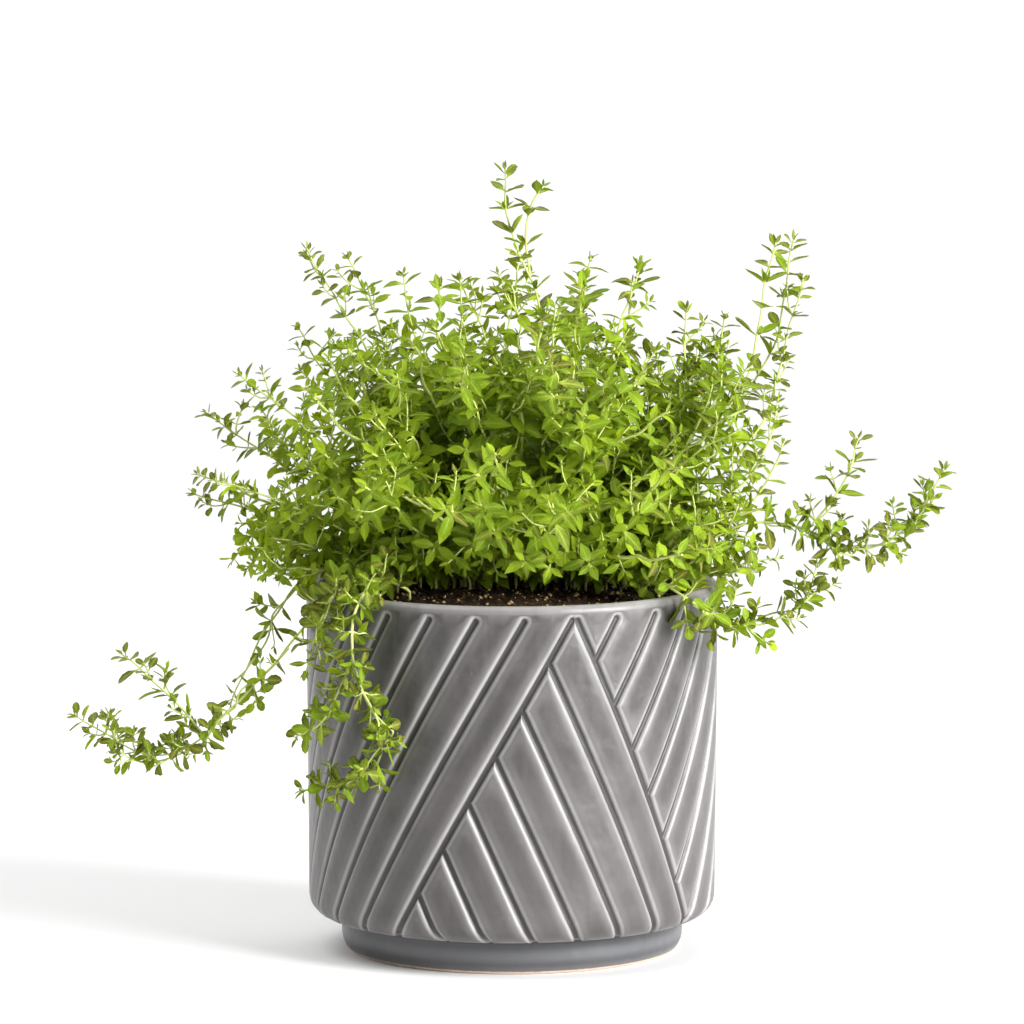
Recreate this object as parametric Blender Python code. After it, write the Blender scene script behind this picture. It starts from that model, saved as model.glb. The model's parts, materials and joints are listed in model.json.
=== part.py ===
"""Potted thyme: a 13 cm glazed ceramic planter with slanted grooves, filled with soil and a bushy thyme.

The part's origin is on the planter's axis at the plane that it stands on, and its front faces -Y.
Sizes are millimetres, and MM turns them into Blender's metres. Angles are radians. The planter's
grooves are cut by lifting a flat pattern onto the wall. Each leafy stem is one closed body, grown
along a curve, and stands in a plain hole in the soil.
"""
import math
import random

import bmesh
import bpy
import numpy as np
from mathutils import Vector
from mathutils.bvhtree import BVHTree
from mathutils.geometry import delaunay_2d_cdt

MM = 0.001
MERGE_DISTANCE = 0.02
SLIVER_SIZE = 0.005

# Finishes, as colour and roughness
GLAZE = ((0.19, 0.18, 0.175), 0.25)
PEAT = ((0.035, 0.022, 0.014), 0.95)
LEAF_GREEN = ((0.13, 0.27, 0.035), 0.55)

# The planter's outline
POT_HEIGHT = 117.0
POT_RADIUS = 65.0
WALL_TAPER = 0.7
LIP_ROUND = 2.1
LIP_LEDGE = 0.3
WALL_THICKNESS = 4.2
FOOT_RADIUS = 54.0
FOOT_HEIGHT = 11.0
FOOT_RING_WIDTH = 3.6
FOOT_FILLET = 1.2
CORNER_ROUND = 6.5
UNDERSIDE_RECESS = 2.5
FLOOR_THICKNESS = 5.0
POT_SIDES = 36

# The groove pattern, on the wall laid flat
SLATS_ROUND = 27
SLAT_ANGLE = 2 * math.pi / SLATS_ROUND
FIRST_SLAT_ANGLE = math.radians(-34.6)
RISE_ANGLE = math.radians(0.512)
FALL_ANGLE = math.radians(0.405)
FAN_STARTS = (0, 13)
FAN_SLATS = 7
GROOVE_HALF_WIDTH = 1.4
GROOVE_FLOOR_HALF_WIDTH = 0.65
GROOVE_DEPTH = 1.05
GROOVE_LOW_END = 1.7
GROOVE_HIGH_END = POT_HEIGHT - 4.6
GROOVE_DATUM = 7.5
GROOVE_EDGE_BENDS = 4
GROOVE_FLOOR_BENDS = 2
WALL_BANDS = 4
CORNER_BANDS = 3
TOP_BAND_HEIGHT = 15.0
EDGE_MARGIN = 0.01
CDT_TOLERANCE = 1e-5

# The soil
SOIL_GAP = 0.3
SOIL_EDGE_HEIGHT = 113.4
SOIL_MOUND = 1.8
SOIL_RINGS = ((50.0, 18), (36.0, 12), (20.0, 8))
HOLE_SIDES = 6
HOLE_RADIUS = 1.45
HOLE_DEPTH = 14.0
HOLE_MARGIN = 2.0

# The thyme's stems: half widths, the upright stretch at the soil, and how they are bent clear
STEM_HALF_WIDTH = 0.62
TIP_HALF_WIDTH = 0.42
STEM_END_CLEARANCE = 0.3
UPRIGHT_FOOT = 3.0
COLLAR_HEIGHT = 0.8
ELBOW_REACH = 1.1
SAMPLE_STEP = 4.0
CURVE_STEP = 0.4
MOST_SAG = 0.7
STEM_CLEARANCE = 4.4
POT_CLEARANCE = 2.0
SETTLE_ROUNDS = 40
PUSH = 0.55
LONGEST_PUSH = 1.5
SMOOTHING = 0.12

# The thyme's leaves: pairs at these distances from a tip, then evenly down to the first pair
TIP_PAIRS = (1.6, 5.2)
PAIR_SPACING = 21.0
FIRST_PAIR = 13.0
FIRST_SHOOT_PAIR = 5.0
NODE_HEIGHT = 0.9
LEAF_LENGTH = 8.0
LEAF_WIDTH = 3.5
LEAF_THICKNESS = 0.7
LEAF_LEAN = 1.12
YOUNG_LEAF_LEAN = 0.75
YOUNG_REACH = 8.0
YOUNG_SCALE = 0.86
BUD_REACH = 3.0
BUD_SCALE = 0.72
LEAF_CLEARANCE = 0.14
BARING_ROUNDS = 14

# The bush's dome: half its width, half its depth and its height above the base
DOME = (93.0, 84.0, 101.0)
DOME_BASE_HEIGHT = 118.0
SEED = 29

# Stems placed one by one, as the outline of the bush shows them: where each stands in the soil,
# then points along it in x, y and height.
PLACED_STEMS = {
    "stem_top_centre": [
        (5, 12), (7, 9, 150), (10, 4, 194), (9, 4, 206), (6, 3, 215), (-3, 3, 229), (-2, 1, 247),
    ],
    "stem_tall_right":[(35, -6), (56, -12, 146), (71, -14, 172), (77, -12, 199), (82, -12, 225)],
    "stem_tall_right_back": [(30, 12), (50, 18, 143), (74, 20, 174), (84, 18, 190), (89, 14, 224)],
    "stem_right_crown": [(24, -3), (43, -6, 152), (55, -6, 178), (54, -6, 204)],
    "stem_right_fan": [(28, 3), (50, 4, 148), (64, 4, 181), (67, 4, 200)],
    "stem_right_edge_high": [(37, 7), (63, 14, 144), (80, 16, 166), (91, 14, 211)],
    "stem_right_edge_middle": [(40, -13), (60, -22, 139), (77, -26, 156), (84, -24, 177)],
    "stem_right_edge_low": [(42, 14), (63, 24, 128), (80, 28, 140), (86, 26, 158)],
    "stem_right_trailing": [
        (46, -19), (58, -24, 131), (79, -28, 140), (94, -28, 136), (110, -28, 128),
        (122, -28, 134), (135, -28, 156),
    ],
    "stem_right_arching": [
        (34, -24), (41, -34, 122), (50, -43, 121), (61, -44, 110), (76, -38, 106),
        (91, -35, 113), (95, -34, 127),
    ],
    "stem_left_trailing": [
        (-36, -14), (-46, -22, 125), (-57, -31, 119), (-68, -38, 101), (-85, -38, 85), (-99, -38, 69),
        (-114, -38, 64), (-126, -38, 74), (-136, -38, 80),
    ],
    "stem_left_dropping": [
        (-42, 2), (-51, 1, 123), (-62, -4, 120), (-76, -9, 106), (-84, -10, 92), (-88, -10, 79),
    ],
    "stem_front_left_hanging": [
        (-32, -31), (-39, -42, 124), (-47, -53, 121), (-51, -59, 108), (-47, -63, 92), (-38, -65, 75),
        (-42, -61, 64), (-53, -53, 60), (-66, -41, 56),
    ],
    "stem_left_lip": [(-42, -22), (-48, -34, 123), (-56, -44, 119), (-61, -49, 106), (-64, -46, 94)],
    "stem_left_top": [(-16, -4), (-35, -10, 162), (-50, -12, 200), (-65, -12, 223)],
    "stem_left_top_back": [(-13, 6), (-29, 8, 160), (-43, 8, 199), (-52, 8, 219)],
    "stem_left_crown": [(-8, -1), (-20, -2, 162), (-32, -4, 200), (-35, -4, 215)],
    "stem_centre_crown": [(-3, -8), (-11, -8, 162), (-15, -8, 196), (-16, -8, 213)],
    "stem_left_shoulder": [(-19, 14), (-40, 18, 153), (-61, 20, 184), (-69, 20, 195)],
    "stem_left_fan": [(-24, -10), (-44, -18, 148), (-68, -22, 171), (-85, -22, 185)],
    "stem_left_edge_high": [(-29, 6), (-51, 10, 138), (-80, 12, 157), (-98, 12, 169)],
    "stem_left_edge_middle": [(-33, -5), (-53, -20, 136), (-77, -28, 147), (-98, -28, 154)],
    "stem_left_edge_low": [(-31, 19), (-55, 30, 126), (-80, 34, 133), (-102, 34, 141)],
    "stem_right_of_centre": [(14, 2), (19, 2, 161), (22, 2, 200), (24, 2, 219)],
    "stem_right_top": [(17, -9), (28, -12, 163), (34, -12, 201), (40, -12, 219)],
}

# Side shoots of those stems: a point near where each leaves its stem, then points along it
PLACED_SHOOTS = {
    "stem_top_centre": [[(6, 3, 215), (3, 4, 224), (5, 5, 236), (10, 5, 241)]],
    "stem_right_trailing": [[(94, -28, 136), (102, -26, 147), (107, -24, 158), (109, -24, 165)]],
    "stem_left_trailing": [[(-96, -38, 72), (-103, -41, 84), (-112, -40, 91), (-122, -40, 99)]],
    "stem_front_left_hanging": [[(-50, -61, 101), (-55, -60, 87), (-60, -54, 77), (-67, -45, 73)]],
    "stem_tall_right": [[(62, -13, 158), (64, -20, 172), (66, -23, 186)]],
    "stem_left_edge_high": [[(-60, 10, 144), (-72, 4, 158), (-80, 1, 172)]],
    "stem_left_edge_middle": [[(-66, -24, 142), (-78, -18, 137), (-88, -10, 124)]],
    "stem_left_edge_low": [[(-68, 32, 130), (-78, 24, 128), (-85, 16, 118)]],
}

# Rings of stems that fill the rest of the dome, over the front and the back: how many degrees up
# its curve they reach, and how many. Those that reach out past CROWN_RADIUS have a side shoot.
FILL_RINGS = ((15, 8), (42, 8), (66, 6))
FILL_HALF_ARC = 42
CROWN_RADIUS = 55.0
BASE_SPACING = 6.0
BASE_SPIRAL_STEP = 4.6
BASE_SHIFT_BACK = 4.0
OPEN_FRONT = -17.0
GOLDEN_TURN = math.radians(137.508)


def clear_scene():
    for obj in list(bpy.data.objects):
        bpy.data.objects.remove(obj, do_unlink=True)


def finish_material(name, finish):
    colour, roughness = finish
    material = bpy.data.materials.new(name)
    material.use_nodes = True
    shader = material.node_tree.nodes["Principled BSDF"]
    shader.inputs["Base Color"].default_value = (*colour, 1.0)
    shader.inputs["Roughness"].default_value = roughness
    shader.inputs["Metallic"].default_value = 0.0
    material.diffuse_color = (*colour, 1.0)
    return material


def add_object(name, points, faces, material):
    """One closed body from points in millimetres, with doubles merged and faces pointing outwards."""
    mesh = bpy.data.meshes.new(name)
    shape = bmesh.new()
    corners = [shape.verts.new(Vector(point) * MM) for point in points]
    for face in faces:
        shape.faces.new([corners[i] for i in face])
    bmesh.ops.remove_doubles(shape, verts=shape.verts, dist=MERGE_DISTANCE * MM)
    bmesh.ops.dissolve_degenerate(shape, edges=shape.edges, dist=SLIVER_SIZE * MM)
    bmesh.ops.triangulate(shape, faces=shape.faces)
    bmesh.ops.recalc_face_normals(shape, faces=shape.faces)
    shape.to_mesh(mesh)
    shape.free()
    obj = bpy.data.objects.new(name, mesh)
    bpy.context.collection.objects.link(obj)
    mesh.materials.append(material)
    return obj


# Planter


def wall_height():
    """The height of the straight wall, from the rounded lower corner to the lip."""
    return POT_HEIGHT - LIP_ROUND - LIP_LEDGE - FOOT_HEIGHT - CORNER_ROUND


CORNER_CENTRE_RADIUS = POT_RADIUS - WALL_TAPER - CORNER_ROUND
UNDERSIDE_RUN = CORNER_CENTRE_RADIUS - FOOT_RADIUS - FOOT_FILLET
CORNER_RUN = CORNER_ROUND * math.pi / 2
WALL_TOP = UNDERSIDE_RUN + CORNER_RUN + wall_height()


def wall_point(run):
    """Radius, height and outward direction at a distance run up the outer surface from the foot."""
    if run <= UNDERSIDE_RUN:
        return FOOT_RADIUS + FOOT_FILLET + run, FOOT_HEIGHT, 0.0, -1.0
    if run <= UNDERSIDE_RUN + CORNER_RUN:
        turn = (run - UNDERSIDE_RUN) / CORNER_ROUND
        radius = CORNER_CENTRE_RADIUS + CORNER_ROUND * math.sin(turn)
        height = FOOT_HEIGHT + CORNER_ROUND - CORNER_ROUND * math.cos(turn)
        return radius, height, math.sin(turn), -math.cos(turn)
    climb = run - UNDERSIDE_RUN - CORNER_RUN
    radius = POT_RADIUS - WALL_TAPER * (1 - climb / wall_height())
    return radius, FOOT_HEIGHT + CORNER_ROUND + climb, 1.0, 0.0


def rising_line(slat, run):
    """Where a groove that climbs to the right stands at a height, as a length round the wall."""
    return POT_RADIUS * (FIRST_SLAT_ANGLE + slat * SLAT_ANGLE + RISE_ANGLE * (run - GROOVE_DATUM))


def falling_line(slat, run):
    return POT_RADIUS * (FIRST_SLAT_ANGLE + slat * SLAT_ANGLE - FALL_ANGLE * (run - GROOVE_DATUM))


def groove_lines():
    """The centre lines of all grooves, each as two ends on the flat wall.

    Most grooves climb to the right from the lower edge to the lip. In each fan, grooves that climb
    to the left fill the triangle right of the fan's first groove, and cut short those beyond it.
    """
    high_end = GROOVE_HIGH_END - FOOT_HEIGHT - CORNER_ROUND + UNDERSIDE_RUN + CORNER_RUN
    meeting_step = SLAT_ANGLE / (RISE_ANGLE + FALL_ANGLE)
    low_end = {slat: GROOVE_LOW_END for slat in range(SLATS_ROUND)}
    lines = []
    for start in FAN_STARTS:
        for step in range(1, FAN_SLATS + 1):
            top = min(high_end, GROOVE_DATUM + step * meeting_step)
            slat = start + step
            foot = (falling_line(slat, GROOVE_LOW_END), GROOVE_LOW_END)
            lines.append((foot, (falling_line(slat, top), top)))
            low_end[slat] = GROOVE_DATUM + (FAN_SLATS - step) * meeting_step
    for slat, low in low_end.items():
        lines.append(((rising_line(slat, low), low), (rising_line(slat, high_end), high_end)))
    return lines


def distance_to_line(point, line):
    (ax, ay), (bx, by) = line
    dx, dy = bx - ax, by - ay
    along = ((point[0] - ax) * dx + (point[1] - ay) * dy) / (dx * dx + dy * dy)
    along = min(1.0, max(0.0, along))
    return math.hypot(point[0] - ax - along * dx, point[1] - ay - along * dy)


def groove_depth(point, lines):
    distance = min(distance_to_line(point, line) for line in lines)
    share = (GROOVE_HALF_WIDTH - distance) / (GROOVE_HALF_WIDTH - GROOVE_FLOOR_HALF_WIDTH)
    return GROOVE_DEPTH * min(1.0, max(0.0, share))


def groove_outline(line, offset, bends):
    """The groove's edge at an offset from its centre line, round at the top and open at the bottom."""
    (ax, ay), (bx, by) = line
    length = math.hypot(bx - ax, by - ay)
    ux, uy = (bx - ax) / length, (by - ay) / length
    outline = [(ax + uy * offset, ay - ux * offset)]
    for step in range(bends + 1):
        turn = -math.pi / 2 + math.pi * step / bends
        along, across = offset * math.cos(turn), offset * math.sin(turn)
        outline.append((bx + ux * along - uy * across, by + uy * along + ux * across))
    outline.append((ax - uy * offset, ay + ux * offset))
    return outline


def seam_line(run):
    return rising_line(-0.5, run)


def wall_ring_runs():
    """How far up the wall its rings lie; the bottom and the top one keep the planter's sides."""
    corner = [UNDERSIDE_RUN + CORNER_RUN * i / CORNER_BANDS for i in range(CORNER_BANDS + 1)]
    top = corner[-1] + (GROOVE_HIGH_END - TOP_BAND_HEIGHT - FOOT_HEIGHT - CORNER_ROUND)
    wall = [corner[-1] + (top - corner[-1]) * i / (WALL_BANDS - 1) for i in range(1, WALL_BANDS)]
    return [0.0, *corner, *wall, WALL_TOP]


def flat_wall_mesh(lines):
    """The unrolled wall as triangles that follow every groove, as flat points and faces."""
    turn = 2 * math.pi * POT_RADIUS
    points, edges = [], []

    def add_chain(chain):
        first = len(points)
        points.extend(Vector(point) for point in chain)
        edges.extend((first + i, first + i + 1) for i in range(len(chain) - 1))

    runs = wall_ring_runs()
    for run in runs:
        whole = run in (runs[0], runs[-1])
        count = POT_SIDES if whole else 1
        add_chain([(seam_line(run) + turn * i / count, run) for i in range(count + 1)])
    for shift in (0.0, turn):
        add_chain([(seam_line(run) + shift, run) for run in runs])
    for line in lines:
        add_chain(groove_outline(line, GROOVE_HALF_WIDTH, GROOVE_EDGE_BENDS))
        add_chain(groove_outline(line, GROOVE_FLOOR_HALF_WIDTH, GROOVE_FLOOR_BENDS))
    flat, _, faces, *_ = delaunay_2d_cdt(points, edges, [], 0, CDT_TOLERANCE)
    kept = []
    for face in faces:
        middle = sum((flat[i] for i in face), Vector((0.0, 0.0))) / 3
        inside = EDGE_MARGIN < middle.x - seam_line(middle.y) < turn - EDGE_MARGIN
        if inside and EDGE_MARGIN < middle.y < WALL_TOP - EDGE_MARGIN:
            kept.append(face)
    return flat, kept


def around(radius, height, angle):
    """A point at an angle from the front, counted towards the right."""
    return radius * math.sin(angle), -radius * math.cos(angle), height


def pot_wall():
    lines = groove_lines()
    flat, faces = flat_wall_mesh(lines)
    points = []
    for point in flat:
        radius, height, out, up = wall_point(point.y)
        depth = groove_depth(point, lines)
        points.append(around(radius - depth * out, height - depth * up, point.x / POT_RADIUS))
    return points, faces


def ring_stack(profile, first_angle, sides=POT_SIDES):
    """Rings of a turned surface from a list of radius and height; a radius of 0 closes it."""
    points, faces, rings = [], [], []
    for radius, height in profile:
        count = sides if radius else 1
        ring = [len(points) + i for i in range(count)]
        points.extend(around(radius, height, first_angle + 2 * math.pi * i / sides) for i in range(count))
        rings.append(ring)
    for low, high in zip(rings, rings[1:]):
        for i in range(sides):
            j = (i + 1) % sides
            if len(high) == 1:
                faces.append((low[i], low[j], high[0]))
            else:
                faces.append((low[i], low[j], high[j], high[i]))
    return points, faces


def inner_profile(gap=0.0):
    """The planter's inner surface from the soil's edge down to its floor, drawn in by a gap."""
    top_radius = POT_RADIUS - WALL_THICKNESS
    floor = UNDERSIDE_RECESS + FLOOR_THICKNESS
    corner = FOOT_HEIGHT + WALL_THICKNESS * 0.75
    return [
        (top_radius - 0.6 - gap, 20.0),
        (top_radius - 3.7 - gap, corner + gap),
        (FOOT_RADIUS - 5.0 - gap, corner - 1.5 + gap),
        (FOOT_RADIUS - 7.0 - gap, floor + gap),
        (0.0, floor + gap),
    ]


def lip_profile():
    """From the top of the wall, over the rounded lip and down to the straight inner wall."""
    profile = []
    centre_out = POT_RADIUS - LIP_ROUND
    centre_in = POT_RADIUS - WALL_THICKNESS + LIP_ROUND
    level = POT_HEIGHT - LIP_ROUND
    for turn in (0, 38, 76):
        angle = math.radians(turn)
        profile.append((centre_out + LIP_ROUND * math.cos(angle), level + LIP_ROUND * math.sin(angle)))
    for turn in (104, 142, 180):
        angle = math.radians(turn)
        profile.append((centre_in + LIP_ROUND * math.cos(angle), level + LIP_ROUND * math.sin(angle)))
    profile[0] = wall_point(WALL_TOP)[:2]
    return profile


def foot_profile():
    """From the underside of the body down the foot, across its ring and in to the centre."""
    ring_out = FOOT_RADIUS - 2.8
    ring_in = ring_out - FOOT_RING_WIDTH
    return [
        wall_point(0.0)[:2],
        (FOOT_RADIUS + 0.2, FOOT_HEIGHT - 0.9),
        (FOOT_RADIUS, FOOT_HEIGHT * 0.5),
        (FOOT_RADIUS - 0.9, 1.8),
        (FOOT_RADIUS - 1.8, 0.5),
        (ring_out, 0.0),
        (ring_in, 0.0),
        (ring_in - 0.9, UNDERSIDE_RECESS),
        (0.0, UNDERSIDE_RECESS),
    ]


def make_pot():
    points, faces = pot_wall()
    parts = (
        (lip_profile() + inner_profile(), seam_line(WALL_TOP) / POT_RADIUS),
        (foot_profile(), seam_line(0.0) / POT_RADIUS),
    )
    for profile, angle in parts:
        more_points, more_faces = ring_stack(profile, angle)
        faces += [tuple(i + len(points) for i in face) for face in more_faces]
        points += more_points
    return add_object("pot", points, faces, finish_material("pot_glaze", GLAZE))


# Soil


def soil_height(x, y):
    """The soil's low mound with a few shallow dips, level where it meets the wall."""
    share = math.hypot(x, y) / (POT_RADIUS - WALL_THICKNESS)
    bumps = 0.35 * math.sin(0.21 * x + 1.0) * math.cos(0.19 * y) + 0.25 * math.sin(0.4 * y + 0.1 * x)
    return SOIL_EDGE_HEIGHT + SOIL_MOUND * (1 - share * share) + bumps * (1 - share)


def hole_rim(hole):
    offsets = [around(HOLE_RADIUS, 0.0, 2 * math.pi * i / HOLE_SIDES) for i in range(HOLE_SIDES)]
    return [(hole[0] + x, hole[1] + y) for x, y, _ in offsets]


def soil_top_mesh(holes):
    """The soil's surface with a round opening for each stem, as flat points and faces."""
    edge = POT_RADIUS - WALL_THICKNESS - SOIL_GAP
    turn_start = seam_line(WALL_TOP) / POT_RADIUS
    points, edges = [], []

    def add_loop(loop):
        first = len(points)
        points.extend(Vector(point) for point in loop)
        edges.extend((first + i, first + (i + 1) % len(loop)) for i in range(len(loop)))

    def ring(radius, count):
        return [around(radius, 0.0, turn_start + 2 * math.pi * i / count)[:2] for i in range(count)]

    add_loop(ring(edge, POT_SIDES))
    for hole in holes:
        add_loop(hole_rim(hole))
    for radius, count in SOIL_RINGS:
        for point in ring(radius, count):
            if all(math.dist(point, hole) > HOLE_RADIUS + HOLE_MARGIN for hole in holes):
                points.append(Vector(point))
    flat, _, faces, *_ = delaunay_2d_cdt(points, edges, [], 0, CDT_TOLERANCE)
    kept = []
    for face in faces:
        middle = sum((flat[i] for i in face), Vector((0.0, 0.0))) / 3
        if all(math.dist(middle, hole) > HOLE_RADIUS * 0.9 for hole in holes):
            kept.append(face)
    return flat, kept


def make_soil(holes):
    flat, faces = soil_top_mesh(holes)
    points = [(point.x, point.y, soil_height(point.x, point.y)) for point in flat]
    edge = POT_RADIUS - WALL_THICKNESS - SOIL_GAP
    sides = [(edge, soil_height(edge, 0.0)), *inner_profile(SOIL_GAP)]
    side_points, side_faces = ring_stack(sides, seam_line(WALL_TOP) / POT_RADIUS)
    for i in range(POT_SIDES):
        x, y, _ = side_points[i]
        side_points[i] = (x, y, soil_height(x, y))
    faces = list(faces) + [tuple(i + len(points) for i in face) for face in side_faces]
    points += side_points
    for hole in holes:
        first = len(points)
        rim = hole_rim(hole)
        points += [(x, y, soil_height(x, y)) for x, y in rim]
        points += [(x, y, SOIL_EDGE_HEIGHT - HOLE_DEPTH) for x, y in rim]
        for i in range(HOLE_SIDES):
            j = (i + 1) % HOLE_SIDES
            faces.append((first + i, first + j, first + HOLE_SIDES + j, first + HOLE_SIDES + i))
        faces.append(tuple(first + HOLE_SIDES + i for i in range(HOLE_SIDES)))
    return add_object("soil", points, faces, finish_material("soil_peat", PEAT))


# Thyme: the curves that stems follow


def smooth_curve(points, step=CURVE_STEP):
    """Points close together on a centripetal Catmull-Rom curve through the given points."""
    rows = [np.array(point, float) for point in points]
    rows = [2 * rows[0] - rows[1], *rows, 2 * rows[-1] - rows[-2]]
    curve = []
    for four in zip(rows, rows[1:], rows[2:], rows[3:]):
        a, b, c, d = four
        knots = [0.0]
        for start, end in zip(four, four[1:]):
            knots.append(knots[-1] + math.sqrt(np.linalg.norm(end - start)))
        ta, tb, tc, td = knots
        count = max(2, int(np.linalg.norm(c - b) / step))
        for i in range(count):
            t = tb + (tc - tb) * i / count
            ab = a + (b - a) * (t - ta) / (tb - ta)
            bc = b + (c - b) * (t - tb) / (tc - tb)
            cd = c + (d - c) * (t - tc) / (td - tc)
            first = ab + (bc - ab) * (t - ta) / (tc - ta)
            second = bc + (cd - bc) * (t - tb) / (td - tb)
            curve.append(first + (second - first) * (t - tb) / (tc - tb))
    curve.append(rows[-2])
    return np.array(curve)


def even_samples(curve, step):
    """The curve at equal lengths, with both ends kept."""
    lengths = np.concatenate([[0.0], np.cumsum(np.linalg.norm(np.diff(curve, axis=0), axis=1))])
    count = max(3, round(lengths[-1] / step) + 1)
    marks = np.linspace(0.0, lengths[-1], count)
    return np.stack([np.interp(marks, lengths, curve[:, axis]) for axis in range(3)], axis=1)


class Shoot:
    """One stem or side shoot: the points along it, and where it leaves its parent."""

    def __init__(self, points, parent=None, leaving=None):
        self.samples = even_samples(smooth_curve(points), SAMPLE_STEP)
        self.parent = parent
        self.leaving = leaving
        self.fixed = 2 if parent is None else 1
        if parent is None:
            self.samples[0] = points[0]
            self.samples[1] = points[1]


class Stem:
    """A leafy stem that stands in the soil, with its side shoots; one node of the part."""

    def __init__(self, name, base, route):
        self.name = name
        self.base = base
        self.foot_height = SOIL_EDGE_HEIGHT - HOLE_DEPTH + STEM_END_CLEARANCE
        top = soil_height(*base)
        self.shoots = [Shoot([(*base, top), (*base, top + UPRIGHT_FOOT), *route])]
        self.bare = set()

    def add_shoot(self, points):
        main = self.shoots[0].samples
        leaving = int(np.argmin(np.linalg.norm(main - np.array(points[0], float), axis=1)))
        start = tuple(main[leaving])
        self.shoots.append(Shoot([start, *points[1:]], 0, leaving))


def placed_stems():
    stems = []
    for name, (base, *route) in PLACED_STEMS.items():
        stem = Stem(name, base, route)
        for points in PLACED_SHOOTS.get(name, []):
            stem.add_shoot(points)
        stems.append(stem)
    return stems


def dome_point(azimuth, climb, reach=1.0):
    """A point on the bush's dome; its top is flatter and its sides fuller than a ball's."""
    across = math.cos(climb) ** 0.75 * reach
    up = math.sin(climb) ** 0.8 * reach
    return (
        DOME[0] * across * math.cos(azimuth),
        DOME[1] * across * math.sin(azimuth),
        DOME_BASE_HEIGHT + DOME[2] * up,
    )


def fill_tips(draw):
    """Tips of the filling stems, in rings over the front and the back of the dome."""
    tips = []
    for climb, count in FILL_RINGS:
        half = count // 2
        for side in (-1, 1):
            for i in range(half):
                spread = FILL_HALF_ARC * (2 * (i + 0.5) / half - 1)
                azimuth = math.radians(side * 90 + spread + draw.uniform(-4, 4))
                reach = draw.uniform(0.95, 1.02)
                tips.append(dome_point(azimuth, math.radians(climb + draw.uniform(-3, 3)), reach))
    return tips


def free_bases(taken, count):
    """Places in the soil on a sunflower spiral, away from those taken and from the open front."""
    bases = []
    index = 0
    while len(bases) < count:
        radius = BASE_SPIRAL_STEP * math.sqrt(index + 0.5)
        angle = index * GOLDEN_TURN
        base = (radius * math.cos(angle), radius * math.sin(angle) + BASE_SHIFT_BACK)
        if base[1] > OPEN_FRONT and all(math.dist(base, other) > BASE_SPACING for other in taken):
            bases.append(base)
        index += 1
    return bases


def bowed_route(base, tip, sway):
    """From the upright foot of a stem out to its tip, steeper at first and swayed to one side."""
    low = soil_height(*base) + UPRIGHT_FOOT
    route = []
    for share in (0.3, 0.65, 1.0):
        across = share**1.25
        up = share**0.8
        x = base[0] + (tip[0] - base[0]) * across + sway * math.sin(math.pi * share)
        y = base[1] + (tip[1] - base[1]) * across
        route.append((x, y, low + (tip[2] - low) * up))
    return route


def filling_stems(taken, draw):
    tips = fill_tips(draw)
    bases = free_bases(taken, len(tips))
    stems = []
    counts = {"front": 0, "back": 0}
    for tip in sorted(tips, key=lambda point: (-math.hypot(point[0], point[1]), point[0])):
        base = min(bases, key=lambda place: math.dist(place, (tip[0] * 0.45, tip[1] * 0.45)))
        bases.remove(base)
        side = "front" if tip[1] < 0 else "back"
        counts[side] += 1
        route = bowed_route(base, tip, draw.uniform(-4.0, 4.0))
        stem = Stem(f"stem_{side}_{counts[side]:02d}", base, route)
        if math.hypot(tip[0], tip[1]) > CROWN_RADIUS:
            stem.add_shoot(side_shoot_points(stem, draw))
        stems.append(stem)
    return stems


def side_shoot_points(stem, draw):
    """A short shoot that leaves the stem part of the way up and curves out of it and upwards."""
    main = stem.shoots[0].samples
    leaving = int(len(main) * draw.uniform(0.4, 0.6))
    start = main[leaving]
    outward = np.array([start[0], start[1], 0.0])
    outward /= max(1.0, np.linalg.norm(outward))
    turned = np.array([-outward[1], outward[0], 0.0]) * draw.choice((-1, 1))
    lean = turned + 0.35 * outward
    reach = draw.uniform(20.0, 26.0)
    bend = start + lean * reach * 0.5 + np.array([0, 0, reach * 0.42])
    end = start + lean * reach * 0.8 + np.array([0, 0, reach * 0.95])
    return [tuple(start), tuple(bend), tuple(end)]


def push_from_pot(point, clearance):
    """Moves a point of a stem off the lip, the wall and the soil."""
    x, y, z = point
    radius = math.hypot(x, y)
    lip_radius = POT_RADIUS - WALL_THICKNESS / 2
    lip_height = POT_HEIGHT - WALL_THICKNESS / 2
    wanted = WALL_THICKNESS / 2 + clearance
    across, up = radius - lip_radius, z - lip_height
    near = math.hypot(across, up)
    if near < wanted:
        across, up = across * wanted / near, up * wanted / near
    elif up < 0 and 0 <= across < wanted:
        across = wanted
    elif across < 0 and z < soil_height(x, y) + clearance:
        up = soil_height(x, y) + clearance - lip_height
    scale = (lip_radius + across) / max(radius, 0.001)
    return np.array([x * scale, y * scale, lip_height + up])


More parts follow.
